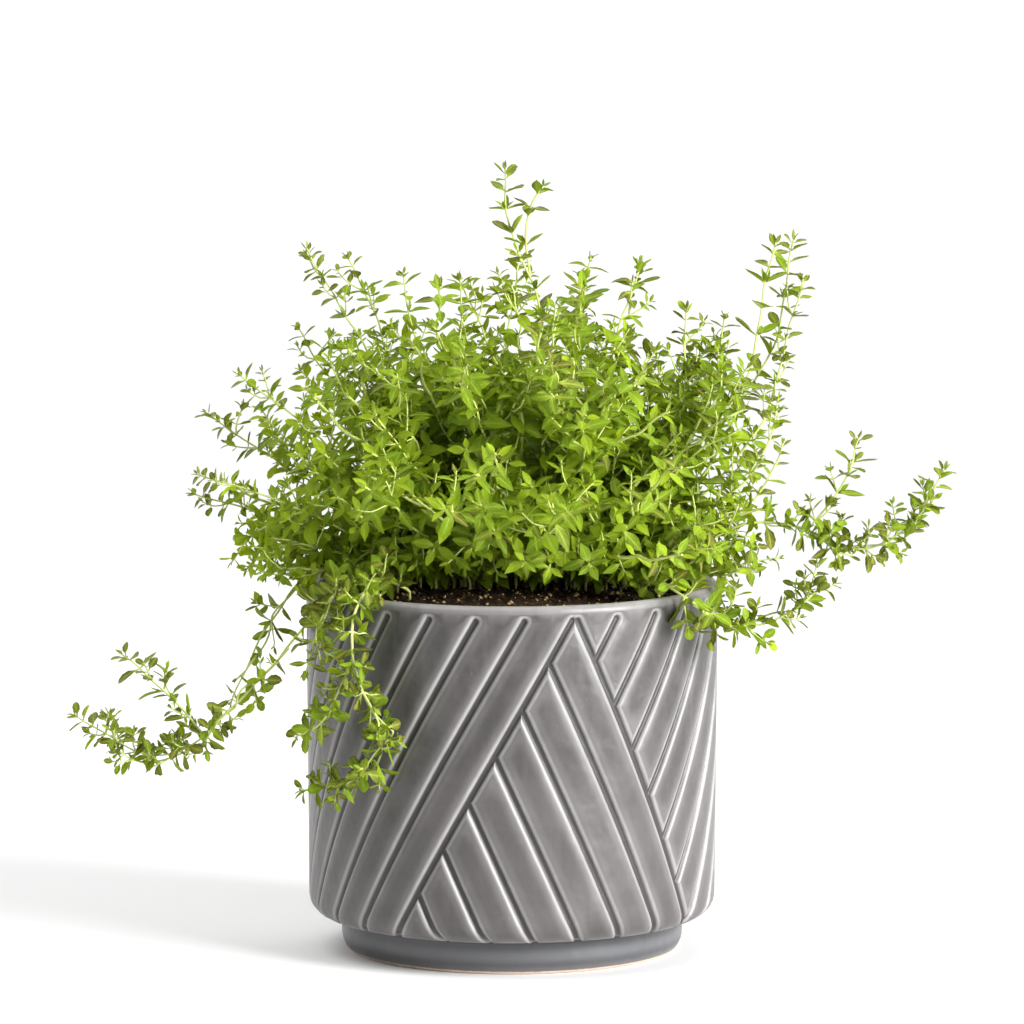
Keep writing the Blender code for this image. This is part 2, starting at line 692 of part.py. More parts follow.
def settle(stems):
    """Bends stems clear of one another, of the planter and of the soil."""
    shoots = [(number, shoot) for number, stem in enumerate(stems) for shoot in stem.shoots]
    for _ in range(SETTLE_ROUNDS):
        points = np.concatenate([shoot.samples for _, shoot in shoots])
        owner = np.concatenate([np.full(len(shoot.samples), number) for number, shoot in shoots])
        held = np.concatenate([np.arange(len(shoot.samples)) < shoot.fixed for _, shoot in shoots])
        gaps = points[:, None, :] - points[None, :, :]
        distance = np.linalg.norm(gaps, axis=2)
        wanted = np.where(owner[:, None] != owner[None, :], STEM_CLEARANCE, 0.0)
        close = distance < wanted
        weight = np.where(close, (wanted - distance) / np.maximum(distance, 0.05), 0.0)
        shift = PUSH * (gaps * weight[:, :, None]).sum(axis=1)
        size = np.linalg.norm(shift, axis=1, keepdims=True)
        shift *= np.minimum(1.0, LONGEST_PUSH / np.maximum(size, 1e-6))
        points = points + np.where(held[:, None], 0.0, shift)
        first = 0
        for number, shoot in shoots:
            last = first + len(shoot.samples)
            samples = points[first:last].copy()
            middle = 0.5 * (samples[:-2] + samples[2:])
            start = shoot.fixed
            samples[start:-1] += SMOOTHING * (middle[start - 1:] - samples[start:-1])
            for i in range(start, len(samples)):
                samples[i] = push_from_pot(samples[i], POT_CLEARANCE)
            if shoot.parent is not None:
                samples[0] = stems[number].shoots[0].samples[shoot.leaving]
            shoot.samples = samples
            first = last


# Thyme: the bodies that grow along the curves


class Growth:
    """Points and faces of one stem; each face remembers which leaf it belongs to, or None."""

    def __init__(self):
        self.points = []
        self.faces = []
        self.owners = []

    def add_point(self, point):
        self.points.append(tuple(float(value) for value in point))
        return len(self.points) - 1

    def add_face(self, corners, owner=None):
        self.faces.append(tuple(corners))
        self.owners.append(owner)

    def add_ring(self, centre, side, up, half):
        signs = ((-1, -1), (1, -1), (1, 1), (-1, 1))
        return [self.add_point(centre + half * (a * side + b * up)) for a, b in signs]

    def add_band(self, low, high, skipped=()):
        for i in range(4):
            if i not in skipped:
                j = (i + 1) % 4
                self.add_face((low[i], low[j], high[j], high[i]))


def unit(vector):
    return vector / np.linalg.norm(vector)


def grow_leaf(growth, low, high, side_number, outward, along, leaf, owner):
    """A pointed blade with a keel underneath, drawn out of one side of the stem."""
    i, j = side_number, (side_number + 1) % 4
    corners = [np.array(growth.points[k]) for k in (low[i], low[j], high[j], high[i])]
    root = sum(corners) / 4
    width_way = unit(corners[1] - corners[0])
    reach = unit(outward * math.sin(leaf["lean"]) + along * math.cos(leaf["lean"]))
    face_way = np.cross(reach, width_way)
    face_way = face_way if face_way @ along > 0 else -face_way
    middle = root + reach * leaf["length"] * 0.45
    half_width = 0.5 * leaf["width"]
    left = growth.add_point(middle - width_way * half_width + face_way * leaf["thickness"] * 0.35)
    right = growth.add_point(middle + width_way * half_width + face_way * leaf["thickness"] * 0.35)
    keel = growth.add_point(middle - face_way * leaf["thickness"] * 0.65)
    tip = growth.add_point(root + reach * leaf["length"] + face_way * leaf["curl"])
    low_left, low_right, high_right, high_left = low[i], low[j], high[j], high[i]
    for face in (
        (low_left, low_right, keel),
        (low_right, right, keel),
        (low_right, high_right, right),
        (high_right, left, right),
        (high_right, high_left, left),
        (high_left, low_left, left),
        (low_left, keel, left),
        (keel, right, tip),
        (right, left, tip),
        (left, keel, tip),
    ):
        growth.add_face(face, owner)


def leaf_plan(total, first_pair, leavings):
    """Distances along a shoot at which pairs of leaves sit: even, then close together at its tip.

    A side shoot leaves from between a pair of leaves, so the nearest pair moves to each leaving.
    """
    spare = total - first_pair - TIP_PAIRS[-1]
    count = max(0, round(spare / PAIR_SPACING))
    marks = [first_pair + spare * i / count for i in range(count)]
    for leaving in leavings:
        nearest = min(range(count), key=lambda i: abs(marks[i] - leaving))
        marks[nearest] = leaving
    return marks + [total - reach for reach in reversed(TIP_PAIRS)]


def leaf_sizes(to_tip, draw, swell):
    """A leaf's sizes, lean and curl; leaves near a tip are smaller and more upright."""
    age = BUD_SCALE if to_tip < BUD_REACH else YOUNG_SCALE if to_tip < YOUNG_REACH else 1.0
    scale = age * draw.uniform(0.88, 1.1)
    return {
        "length": LEAF_LENGTH * scale + 2 * swell,
        "width": LEAF_WIDTH * scale + 2 * swell,
        "thickness": LEAF_THICKNESS + 2 * swell,
        "lean": (YOUNG_LEAF_LEAN if to_tip < YOUNG_REACH else LEAF_LEAN) + draw.uniform(-0.12, 0.12),
        "curl": draw.uniform(-0.6, 0.5),
    }


def transported(side, along):
    """Carries a side direction over to a new direction along the stem without twisting."""
    return unit(side - along * (side @ along))


def joined_to(samples, elbow):
    """A side shoot's points with its first ones drawn over to where it leaves its parent."""
    samples = samples.copy()
    shift = elbow - samples[0]
    for i in range(min(4, len(samples))):
        samples[i] += shift * (1 - i / 4)
    return samples


def grow_shoot(growth, stem, number, draw, swell, start=None):
    """Grows a tube with pairs of leaves along one shoot; start is a side of the parent to grow from."""
    samples = stem.shoots[number].samples
    if start is not None:
        samples = joined_to(samples, start[2])
    curve = smooth_curve(samples)
    steps = np.linalg.norm(np.diff(curve, axis=0), axis=1)
    lengths = np.concatenate([[0.0], np.cumsum(steps)])
    total = lengths[-1]

    def place(length):
        return np.array([np.interp(length, lengths, curve[:, axis]) for axis in range(3)])

    def way(length):
        return unit(place(min(total, length + 0.6)) - place(max(0.0, length - 0.6)))

    def half_width(length):
        widest = STEM_HALF_WIDTH if start is None else 0.5 * (STEM_HALF_WIDTH + TIP_HALF_WIDTH)
        return widest + (TIP_HALF_WIDTH - widest) * length / total + swell

    if start is None:
        turn = draw.uniform(0.0, math.pi)
        side = np.array([math.cos(turn), math.sin(turn), 0.0])
        up = np.array([-math.sin(turn), math.cos(turn), 0.0])
        foot_ring = growth.add_ring(np.array([*stem.base, stem.foot_height]), side, up, half_width(0.0))
        growth.add_face(reversed(foot_ring))
        ring = growth.add_ring(place(COLLAR_HEIGHT), side, up, half_width(COLLAR_HEIGHT))
        growth.add_band(foot_ring, ring)
    else:
        parent_side, side, elbow, heading = start
        ring = growth.add_ring(elbow, side, np.cross(heading, side), half_width(0.0))
        growth.add_band(parent_side, ring)
    leavings = shoot_leavings(stem, total) if start is None else {}
    first_pair = FIRST_PAIR if start is None else FIRST_SHOOT_PAIR
    first_turn = draw.randrange(2)
    last_mark = COLLAR_HEIGHT
    for index, mark in enumerate(leaf_plan(total, first_pair, leavings.values())):
        halfway = (last_mark + mark) / 2
        sag = np.linalg.norm(place(halfway) - (place(last_mark) + place(mark)) / 2)
        bends = min(3, int(math.sqrt(sag / MOST_SAG)))
        for bend in range(bends):
            at = last_mark + (mark - last_mark) * (bend + 1) / (bends + 1)
            side = transported(side, way(at))
            middle_ring = growth.add_ring(place(at), side, np.cross(way(at), side), half_width(at))
            growth.add_band(ring, middle_ring)
            ring = middle_ring
        last_mark = mark
        along = way(mark)
        side = transported(side, along)
        up = np.cross(along, side)
        centre = place(mark)
        half = half_width(mark)
        low = growth.add_ring(centre - along * NODE_HEIGHT / 2, side, up, half)
        high = growth.add_ring(centre + along * NODE_HEIGHT / 2, side, up, half * 0.96)
        growth.add_band(ring, low)
        outward_ways = (-up, side, up, -side)
        pair = (0, 2) if (index + first_turn) % 2 == 0 else (1, 3)
        child = next((child for child, leaving in leavings.items() if leaving == mark), None)
        child_side = None if child is None else shoot_side(stem.shoots[child], outward_ways, pair)
        for side_number in range(4):
            i, j = side_number, (side_number + 1) % 4
            quad = (low[i], low[j], high[j], high[i])
            outward = outward_ways[side_number]
            leaf = leaf_sizes(total - mark, draw, swell)
            owner = (number, index, side_number)
            if side_number == child_side:
                width_way = unit(np.array(growth.points[low[j]]) - np.array(growth.points[low[i]]))
                elbow = centre + outward * (half + ELBOW_REACH) + along * NODE_HEIGHT
                heading = unit(outward + 0.7 * along)
                child_draw = random.Random(SEED + child)
                grow_shoot(growth, stem, child, child_draw, swell, (quad, width_way, elbow, heading))
            elif side_number in pair and owner not in stem.bare:
                grow_leaf(growth, low, high, side_number, outward, along, leaf, owner)
            else:
                growth.add_face(quad)
        ring = high
    bud = growth.add_point(curve[-1])
    for i in range(4):
        growth.add_face((ring[i], ring[(i + 1) % 4], bud))


def shoot_leavings(stem, total):
    """How far along the stem each of its side shoots leaves it."""
    steps = len(stem.shoots[0].samples) - 1
    return {
        number: shoot.leaving * total / steps
        for number, shoot in enumerate(stem.shoots)
        if shoot.parent is not None
    }


def shoot_side(shoot, outward_ways, pair):
    """Which of the two sides that carry a pair of leaves a side shoot heads out of."""
    heading = unit(shoot.samples[min(2, len(shoot.samples) - 1)] - shoot.samples[0])
    return max(pair, key=lambda side_number: float(outward_ways[side_number] @ heading))


def grow_stem(stem, number, swell=0.0):
    growth = Growth()
    grow_shoot(growth, stem, 0, random.Random(SEED * 100 + number), swell)
    return growth


def tree_of(points, faces):
    return BVHTree.FromPolygons([Vector(point) for point in points], faces, epsilon=0.0)


def bare_clashing_leaves(stems, solids):
    """Leaves off each leaf that would touch another stem, the planter or the soil."""
    for _ in range(BARING_ROUNDS):
        growths = [grow_stem(stem, number, LEAF_CLEARANCE) for number, stem in enumerate(stems)]
        trees = [tree_of(growth.points, growth.faces) for growth in growths]
        changed = 0
        for a, growth in enumerate(growths):
            true_growth = grow_stem(stems[a], a)
            clashes = own_clashes(growth, True) | own_clashes(true_growth, False)
            for tree in solids:
                clashes |= {growth.owners[i] for i, _ in trees[a].overlap(tree)}
            for b in range(a):
                for i, j in trees[a].overlap(trees[b]):
                    mine, other = growth.owners[i], growths[b].owners[j]
                    if mine is not None:
                        clashes.add(mine)
                    elif other is not None:
                        stems[b].bare.add(other)
                        changed += 1
            clashes.discard(None)
            changed += len(clashes - stems[a].bare)
            stems[a].bare |= clashes
        if not changed:
            return


def own_clashes(growth, spare_roots):
    """Leaves of a stem that touch its other leaves or the stem; touches near a leaf's root may be spared."""
    tree = tree_of(growth.points, growth.faces)
    clashes = set()
    for i, j in tree.overlap(tree):
        mine, other = growth.owners[i], growth.owners[j]
        if mine is None or mine == other or set(growth.faces[i]) & set(growth.faces[j]):
            continue
        if not (spare_roots and other is None and touches_root(growth, i, j)):
            clashes.add(mine)
    return clashes


def touches_root(growth, leaf_face, stem_face):
    """Whether a stem face shares a corner with the leaf that the leaf face belongs to."""
    owner = growth.owners[leaf_face]
    corners = set()
    for face, face_owner in zip(growth.faces, growth.owners):
        if face_owner == owner:
            corners |= set(face)
    return bool(corners & set(growth.faces[stem_face]))


def make_stem(stem, number):
    growth = grow_stem(stem, number)
    green = finish_material(f"{stem.name}_green", LEAF_GREEN)
    return add_object(stem.name, growth.points, growth.faces, green)


def tree_of_object(obj):
    points = [vertex.co / MM for vertex in obj.data.vertices]
    faces = [tuple(polygon.vertices) for polygon in obj.data.polygons]
    return tree_of(points, faces)


def main():
    clear_scene()
    draw = random.Random(SEED)
    stems = placed_stems()
    stems += filling_stems([stem.base for stem in stems], draw)
    settle(stems)
    pot = make_pot()
    soil = make_soil([stem.base for stem in stems])
    bare_clashing_leaves(stems, [tree_of_object(pot), tree_of_object(soil)])
    for number, stem in enumerate(stems):
        make_stem(stem, number)


main()
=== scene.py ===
"""Potted thyme: the looks of a glazed herb planter with slanted grooves, its soil and a bushy thyme.

Laid out as an add-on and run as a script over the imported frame. Sizes in the tables are millimetres,
and MM turns them into Blender's metres. The settings that a user would change, the paper sweep and
the lights are in metres. The origin is on the planter's axis at the plane it stands on, and its front
faces -Y. The stems follow the same curves as the frame's stems, so each piece stays where its frame
parts are.
"""

import json
import math
import random

import bmesh
import bpy
import numpy as np
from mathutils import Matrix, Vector, noise
from mathutils.geometry import delaunay_2d_cdt

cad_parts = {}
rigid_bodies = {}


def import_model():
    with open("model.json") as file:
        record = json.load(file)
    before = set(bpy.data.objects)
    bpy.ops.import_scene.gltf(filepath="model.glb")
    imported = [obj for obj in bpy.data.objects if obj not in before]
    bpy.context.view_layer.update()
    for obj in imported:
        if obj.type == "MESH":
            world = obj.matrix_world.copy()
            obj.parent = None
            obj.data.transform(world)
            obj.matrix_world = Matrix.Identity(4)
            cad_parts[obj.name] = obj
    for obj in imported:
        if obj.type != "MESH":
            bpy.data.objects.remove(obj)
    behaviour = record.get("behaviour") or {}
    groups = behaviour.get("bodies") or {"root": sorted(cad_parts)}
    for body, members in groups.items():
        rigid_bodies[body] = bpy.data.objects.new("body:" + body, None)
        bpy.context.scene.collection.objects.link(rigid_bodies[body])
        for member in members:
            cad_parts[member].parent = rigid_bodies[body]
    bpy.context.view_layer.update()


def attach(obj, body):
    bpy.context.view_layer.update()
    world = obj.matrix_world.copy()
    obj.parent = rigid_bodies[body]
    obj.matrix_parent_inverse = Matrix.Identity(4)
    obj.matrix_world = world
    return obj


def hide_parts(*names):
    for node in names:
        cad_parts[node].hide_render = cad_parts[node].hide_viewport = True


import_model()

bl_info = {
    "name": "Potted thyme",
    "version": (1, 0, 0),
    "blender": (4, 5, 0),
    "location": "3D View > Sidebar > Thyme",
    "description": "Builds a bushy thyme in a grooved, glazed herb planter over its frame",
    "category": "Add Mesh",
}

MM = 0.001
SEED = 29

# The planter's outline
POT_HEIGHT = 117.0
POT_RADIUS = 65.0
WALL_TAPER = 0.7
LIP_ROUND = 2.1
LIP_LEDGE = 0.3
WALL_THICKNESS = 4.2
FOOT_RADIUS = 54.0
FOOT_HEIGHT = 11.0
FOOT_FILLET = 1.2
CORNER_ROUND = 6.5
UNDERSIDE_RECESS = 2.5
FLOOR_THICKNESS = 5.0
POT_SIDES = 144

# The groove pattern, on the wall laid flat
SLATS_ROUND = 27
SLAT_ANGLE = 2 * math.pi / SLATS_ROUND
FIRST_SLAT_ANGLE = math.radians(-34.6)
RISE_ANGLE = math.radians(0.512)
FALL_ANGLE = math.radians(0.405)
FAN_STARTS = (0, 13)
FAN_SLATS = 7
GROOVE_HALF_WIDTH = 1.55
GROOVE_FLOOR_HALF_WIDTH = 0.45
GROOVE_LOW_END = 1.7
GROOVE_HIGH_END = POT_HEIGHT - 4.6
GROOVE_DATUM = 7.5
OUTLINE_OFFSETS = (0.0, 0.4, 0.68, 0.94, 1.2, 1.5, 1.95, 2.7)
OUTLINE_STEP = 2.3
OUTLINE_BENDS = 8
PATTERN_MARGIN = 0.3
SLAT_STEP = 2.7
ROW_SHARE = 0.87
GROOVE_MARGIN = 0.9
EDGE_MARGIN = 0.005
MERGE_DISTANCE = 0.02
CDT_TOLERANCE = 1e-5
FAR_FROM_GROOVE = 9.0

# Lengths up the outer surface from the foot, along which the groove pattern is laid
WALL_HEIGHT = POT_HEIGHT - LIP_ROUND - LIP_LEDGE - FOOT_HEIGHT - CORNER_ROUND
CORNER_CENTRE_RADIUS = POT_RADIUS - WALL_TAPER - CORNER_ROUND
UNDERSIDE_RUN = CORNER_CENTRE_RADIUS - FOOT_RADIUS - FOOT_FILLET
CORNER_RUN = CORNER_ROUND * math.pi / 2
WALL_TOP = UNDERSIDE_RUN + CORNER_RUN + WALL_HEIGHT

# The soil
SOIL_GAP = 0.3
SOIL_EDGE_HEIGHT = 113.4
SOIL_MOUND = 1.8
SOIL_ROUGHNESS = 0.9
GRAIN_ROUGHNESS = 0.35
SOIL_RINGS = 64
SOIL_SECTORS = 132
CRUMB_KINDS = 5
CRUMB_RINGS = 24
CRUMB_SECTORS = 60
CRUMB_MARGIN = 1.3
CRUMB_SEED = 5
INNER_RADIUS = POT_RADIUS - WALL_THICKNESS
SOIL_RADIUS = INNER_RADIUS - SOIL_GAP

# The stems of the frame: how they are sampled and bent clear of one another
HOLE_DEPTH = 14.0
STEM_END_CLEARANCE = 0.3
UPRIGHT_FOOT = 3.0
SAMPLE_STEP = 4.0
CURVE_STEP = 0.4
STEM_CLEARANCE = 4.4
POT_CLEARANCE = 2.0
SETTLE_ROUNDS = 40
PUSH = 0.55
LONGEST_PUSH = 1.5
SMOOTHING = 0.12

# The bush's dome: half its width, half its depth and its height above the base
DOME = (93.0, 84.0, 101.0)
DOME_BASE_HEIGHT = 118.0

# Stems placed one by one: where each stands in the soil, then points along it in x, y and height
PLACED_STEMS = {
    "stem_top_centre": [
        (5, 12), (7, 9, 150), (10, 4, 194), (9, 4, 206), (6, 3, 215), (-3, 3, 229), (-2, 1, 247),
    ],
    "stem_tall_right": [(35, -6), (56, -12, 146), (71, -14, 172), (77, -12, 199), (82, -12, 225)],
    "stem_tall_right_back": [(30, 12), (50, 18, 143), (74, 20, 174), (84, 18, 190), (89, 14, 224)],
    "stem_right_crown": [(24, -3), (43, -6, 152), (55, -6, 178), (54, -6, 204)],
    "stem_right_fan": [(28, 3), (50, 4, 148), (64, 4, 181), (67, 4, 200)],
    "stem_right_edge_high": [(37, 7), (63, 14, 144), (80, 16, 166), (91, 14, 211)],
    "stem_right_edge_middle": [(40, -13), (60, -22, 139), (77, -26, 156), (84, -24, 177)],
    "stem_right_edge_low": [(42, 14), (63, 24, 128), (80, 28, 140), (86, 26, 158)],
    "stem_right_trailing": [
        (46, -19), (58, -24, 131), (79, -28, 140), (94, -28, 136), (110, -28, 128),
        (122, -28, 134), (135, -28, 156),
    ],
    "stem_right_arching": [
        (34, -24), (41, -34, 122), (50, -43, 121), (61, -44, 110), (76, -38, 106),
        (91, -35, 113), (95, -34, 127),
    ],
    "stem_left_trailing": [
        (-36, -14), (-46, -22, 125), (-57, -31, 119), (-68, -38, 101), (-85, -38, 85), (-99, -38, 69),
        (-114, -38, 64), (-126, -38, 74), (-136, -38, 80),
    ],
    "stem_left_dropping": [
        (-42, 2), (-51, 1, 123), (-62, -4, 120), (-76, -9, 106), (-84, -10, 92), (-88, -10, 79),
    ],
    "stem_front_left_hanging": [
        (-32, -31), (-39, -42, 124), (-47, -53, 121), (-51, -59, 108), (-47, -63, 92), (-38, -65, 75),
        (-42, -61, 64), (-53, -53, 60), (-66, -41, 56),
    ],
    "stem_left_lip": [(-42, -22), (-48, -34, 123), (-56, -44, 119), (-61, -49, 106), (-64, -46, 94)],
    "stem_left_top": [(-16, -4), (-35, -10, 162), (-50, -12, 200), (-65, -12, 223)],
    "stem_left_top_back": [(-13, 6), (-29, 8, 160), (-43, 8, 199), (-52, 8, 219)],
    "stem_left_crown": [(-8, -1), (-20, -2, 162), (-32, -4, 200), (-35, -4, 215)],
    "stem_centre_crown": [(-3, -8), (-11, -8, 162), (-15, -8, 196), (-16, -8, 213)],
    "stem_left_shoulder": [(-19, 14), (-40, 18, 153), (-61, 20, 184), (-69, 20, 195)],
    "stem_left_fan": [(-24, -10), (-44, -18, 148), (-68, -22, 171), (-85, -22, 185)],
    "stem_left_edge_high": [(-29, 6), (-51, 10, 138), (-80, 12, 157), (-98, 12, 169)],
    "stem_left_edge_middle": [(-33, -5), (-53, -20, 136), (-77, -28, 147), (-98, -28, 154)],
    "stem_left_edge_low": [(-31, 19), (-55, 30, 126), (-80, 34, 133), (-102, 34, 141)],
    "stem_right_of_centre": [(14, 2), (19, 2, 161), (22, 2, 200), (24, 2, 219)],
    "stem_right_top": [(17, -9), (28, -12, 163), (34, -12, 201), (40, -12, 219)],
}

# Side shoots of those stems: a point near where each leaves its stem, then points along it
PLACED_SHOOTS = {
    "stem_top_centre": [[(6, 3, 215), (3, 4, 224), (5, 5, 236), (10, 5, 241)]],
    "stem_right_trailing": [[(94, -28, 136), (102, -26, 147), (107, -24, 158), (109, -24, 165)]],
    "stem_left_trailing": [[(-96, -38, 72), (-103, -41, 84), (-112, -40, 91), (-122, -40, 99)]],
    "stem_front_left_hanging": [[(-50, -61, 101), (-55, -60, 87), (-60, -54, 77), (-67, -45, 73)]],
    "stem_tall_right": [[(62, -13, 158), (64, -20, 172), (66, -23, 186)]],
    "stem_left_edge_high": [[(-60, 10, 144), (-72, 4, 158), (-80, 1, 172)]],
    "stem_left_edge_middle": [[(-66, -24, 142), (-78, -18, 137), (-88, -10, 124)]],
    "stem_left_edge_low": [[(-68, 32, 130), (-78, 24, 128), (-85, 16, 118)]],
}

# Rings of stems that fill the dome, as in the frame: degrees up its curve, and how many
FILL_RINGS = ((15, 8), (42, 8), (66, 6))
FILL_HALF_ARC = 42
CROWN_RADIUS = 55.0
BASE_SPACING = 6.0
BASE_SPIRAL_STEP = 4.6
BASE_SHIFT_BACK = 4.0
OPEN_FRONT = -17.0
GOLDEN_TURN = math.radians(137.508)

# The largest turn that a random draw gives, in radians
MOST_TURN = 6.28

# How each kind of stem grows, beside the settings: leaf size, pair spacing, share of twigs, the
# shortest and longest twig, share of small leaves in the axils, how far the line wavers, how stout
# it is, the least depth of its green, and which of the LEAF_KINDS it bears
HABITS = {
    "trailing": (1.14, 0.74, 2.9, (6.0, 15.0), 1.6, 0.9, 1.0, 0.60, (5, 6, 7, 5, 4)),
    "hanging": (0.98, 0.62, 2.4, (5.0, 12.0), 1.9, 0.8, 1.1, 0.66, (5, 6, 7, 4)),
    "twining": (0.96, 1.00, 1.4, (5.0, 11.0), 1.2, 4.6, 1.1, 0.60, (5, 6, 7, 4)),
    "sprig": (1.2, 1.12, 0.5, (5.0, 10.0), 1.4, 0.6, 1.1, 0.40, (0, 4, 5, 7)),
    "edge": (0.96, 0.94, 1.7, (7.0, 18.0), 1.3, 0.9, 1.0, 0.0, (0, 1, 4, 5, 6, 7)),
    "thicket": (0.82, 1.15, 1.7, (7.0, 18.0), 1.3, 3.0, 0.95, 0.0, (4, 5, 6, 1)),
    "crown": (1.09, 0.92, 1.5, (8.0, 21.0), 1.1, 0.9, 1.0, 0.0, (0, 1, 2, 3, 4, 7)),
    "heart": (1.14, 1.05, 1.2, (9.0, 22.0), 0.9, 1.8, 1.05, 0.0, (0, 0, 1, 3, 4)),
    "skirt": (1.02, 1.0, 1.3, (6.0, 14.0), 1.0, 1.4, 1.0, 0.0, (0, 1, 3, 4)),
    "arc": (0.98, 2.1, 0.6, (6.0, 14.0), 0.3, 2.6, 1.55, 0.0, (0, 1, 2)),
}
SMALL_KINDS = (8, 9, 10)

# Pieces of thyme: each grows by a habit and holds the frame's stems whose names start so
THYME_PIECES = {
    "thyme_left_trailing": ("trailing", ("stem_left_trailing", "stem_left_dropping")),
    "thyme_front_left": ("hanging", ("stem_front_left", "stem_left_lip")),
    "thyme_right_trailing": ("trailing", ("stem_right_trailing", "stem_right_arching")),
    "thyme_left": ("edge", ("stem_left_edge", "stem_left_fan", "stem_left_shoulder", "stem_left_top")),
    "thyme_tall": ("sprig", ("stem_tall", "stem_top")),
    "thyme_right": ("edge", ("stem_right_edge", "stem_right_fan", "stem_right_crown")),
    "thyme_crown": ("crown", ("stem_centre", "stem_left_crown", "stem_right_of", "stem_right_top")),
    "thyme_front": ("heart", ("stem_front_0", "stem_front_1")),
    "thyme_back": ("crown", ("stem_back",)),
}

# The stretch along X where stems that trail or twine lose this share of their leaf pairs
THIN_STRETCH = (-86.0, -61.0)
THINNED = 0.6

# Finer stems that only the looks have, which fill the bush between the frame's stems: the piece
# they belong to, their habit and number, how far round the dome they reach from the right, in
# degrees, how far up, and how far out
INNER_STEMS = (
    ("thyme_inner_front", "heart", 22, (-165, -15), (12, 70), (0.6, 0.98)),
    ("thyme_inner_front", "arc", 12, (-160, -20), (10, 60), (0.8, 1.0)),
    ("thyme_inner_left", "thicket", 14, (164, 208), (0, 14), (0.80, 0.96)),
    ("thyme_inner_left", "edge", 15, (150, 215), (12, 60), (0.72, 0.98)),
    ("thyme_inner_right", "thicket", 12, (-42, 14), (0, 14), (0.72, 0.92)),
    ("thyme_inner_right", "edge", 14, (-35, 30), (12, 60), (0.65, 0.97)),
    ("thyme_inner_right", "arc", 6, (-60, 15), (2, 30), (0.75, 0.98)),
    ("thyme_inner_left", "arc", 5, (165, 235), (2, 35), (0.75, 0.98)),
    ("thyme_inner_back", "crown", 9, (20, 160), (6, 70), (0.5, 0.95)),
    ("thyme_inner_back", "heart", 8, (15, 165), (0, 10), (0.45, 0.72)),
)

# Short stems that hang to the rim: along X at the front, and by degrees round at the back
SKIRT_STEMS = 36
SKIRT_SPREAD = (-50.0, 58.0)
SKIRT_RADIUS = 57.0
BACK_SKIRT_STEMS = 22
BACK_SKIRT_SPREAD = (8.0, 172.0)

# How deep a leaf's green is: at the bush's heart, how much more on its dome, how much paler leaves on
# the left are painted, as painted light for the light that falls through there, and how widely leaves vary
HEART_TONE = 0.27
DOME_TONE = 0.48
LEFT_PAINTED_LIGHT = 0.3
TONE_SPREAD = 0.25

# Stems and leaves: distances of the first pairs from a shoot's tip, with how large and how far out
# each is, the steps and sides of the stems, and how much of each is bare at its foot
TIP_PAIRS = ((0.4, 0.40, 0.45), (1.4, 0.62, 0.92), (3.4, 0.84, 1.16), (7.2, 0.96, 1.30), (11.8, 1.02, 1.34))
STEM_LINE_STEP = 2.2
TWIG_LINE_STEP = 2.4
STEM_SIDES = 5
LEAF_ROLL = 0.38
FRAME_STEM_BARE = 5.5
FINE_STEM_BARE = 3.0
SHOOT_BARE = 3.0
TWIG_BARE = 1.5
TWIG_BENDS = 4
PLANTER_MARGIN = 0.6
SOIL_MARGIN = 0.7
LEAF_OUTLINES = {
    # distance along a leaf one unit long, and its width there
    "pointed": ((0.0, 0.06), (0.13, 0.13), (0.35, 0.37), (0.57, 0.38), (0.81, 0.20)),
    "rounded": ((0.0, 0.06), (0.20, 0.12), (0.40, 0.46), (0.66, 0.53), (0.88, 0.34)),
    "small": ((0.0, 0.10), (0.35, 0.38), (0.70, 0.31)),
}
LEAF_KINDS = (
    # outline, fold, bend along its length, width beside the outline's
    ("pointed", 0.34, 0.35, 1.00), ("pointed", 0.20, 0.65, 1.10), ("pointed", 0.46, -0.15, 0.90),
    ("pointed", 0.28, 0.95, 1.00), ("pointed", 0.14, 0.15, 1.20), ("rounded", 0.26, 0.30, 1.00),
    ("rounded", 0.14, 0.62, 1.06), ("rounded", 0.36, -0.12, 0.88), ("small", 0.44, 0.30, 1.00),
    ("small", 0.34, -0.30, 0.90), ("small", 0.55, 0.60, 0.78),
)

# The camera, from the photograph's viewing angle
CAMERA_PLACE = (0.0, -2315.0, 426.05)
CAMERA_TILT = 0.1236
CAMERA_LENS = 260.0

# The paper sweep, in metres: half its width, its front and back ends, its bend and its height
SWEEP_HALF_WIDTH = 4.0
SWEEP_FRONT = -3.2
SWEEP_BACK = 3.4
SWEEP_BEND = 1.5
SWEEP_BEND_STEPS = 12
SWEEP_HEIGHT = 4.5

# Soft lights, in metres: where each stands, what it faces, and its width and height
LIGHTS = {
    "key": ((1.1, -0.8, 0.62), (0.0, 0.0, 0.16), (0.7, 1.0)),
    "bank": ((0.0, 2.3, 2.2), (0.0, 2.3, 0.0), (3.6, 4.0)),
    "backdrop": ((0.0, 2.6, 2.6), (0.0, 3.6, 0.0), (3.6, 1.6)),
    "fill": ((-1.2, -1.0, 0.6), (0.0, 0.0, 0.12), (0.8, 0.8)),
    "top": ((-0.55, -0.25, 1.1), (-0.02, 0.0, 0.17), (0.8, 0.8)),
    "back": ((-0.8, 0.6, 0.8), (-0.02, 0.0, 0.17), (0.6, 0.8)),
}


# Settings


def length_setting(name, description, default, least, most):
    """A length in metres, given here in millimetres."""
    return bpy.props.FloatProperty(
        name=name, description=description, default=default * MM, min=least * MM, max=most * MM,
        precision=5, unit="LENGTH", subtype="DISTANCE",
    )


def colour_setting(name, description, default):
    return bpy.props.FloatVectorProperty(
        name=name, description=description, default=default, size=3, min=0.0, max=1.0, subtype="COLOR",
    )


def share_setting(name, description, default):
    return bpy.props.FloatProperty(
        name=name, description=description, default=default, min=0.0, max=1.0, subtype="FACTOR",
    )


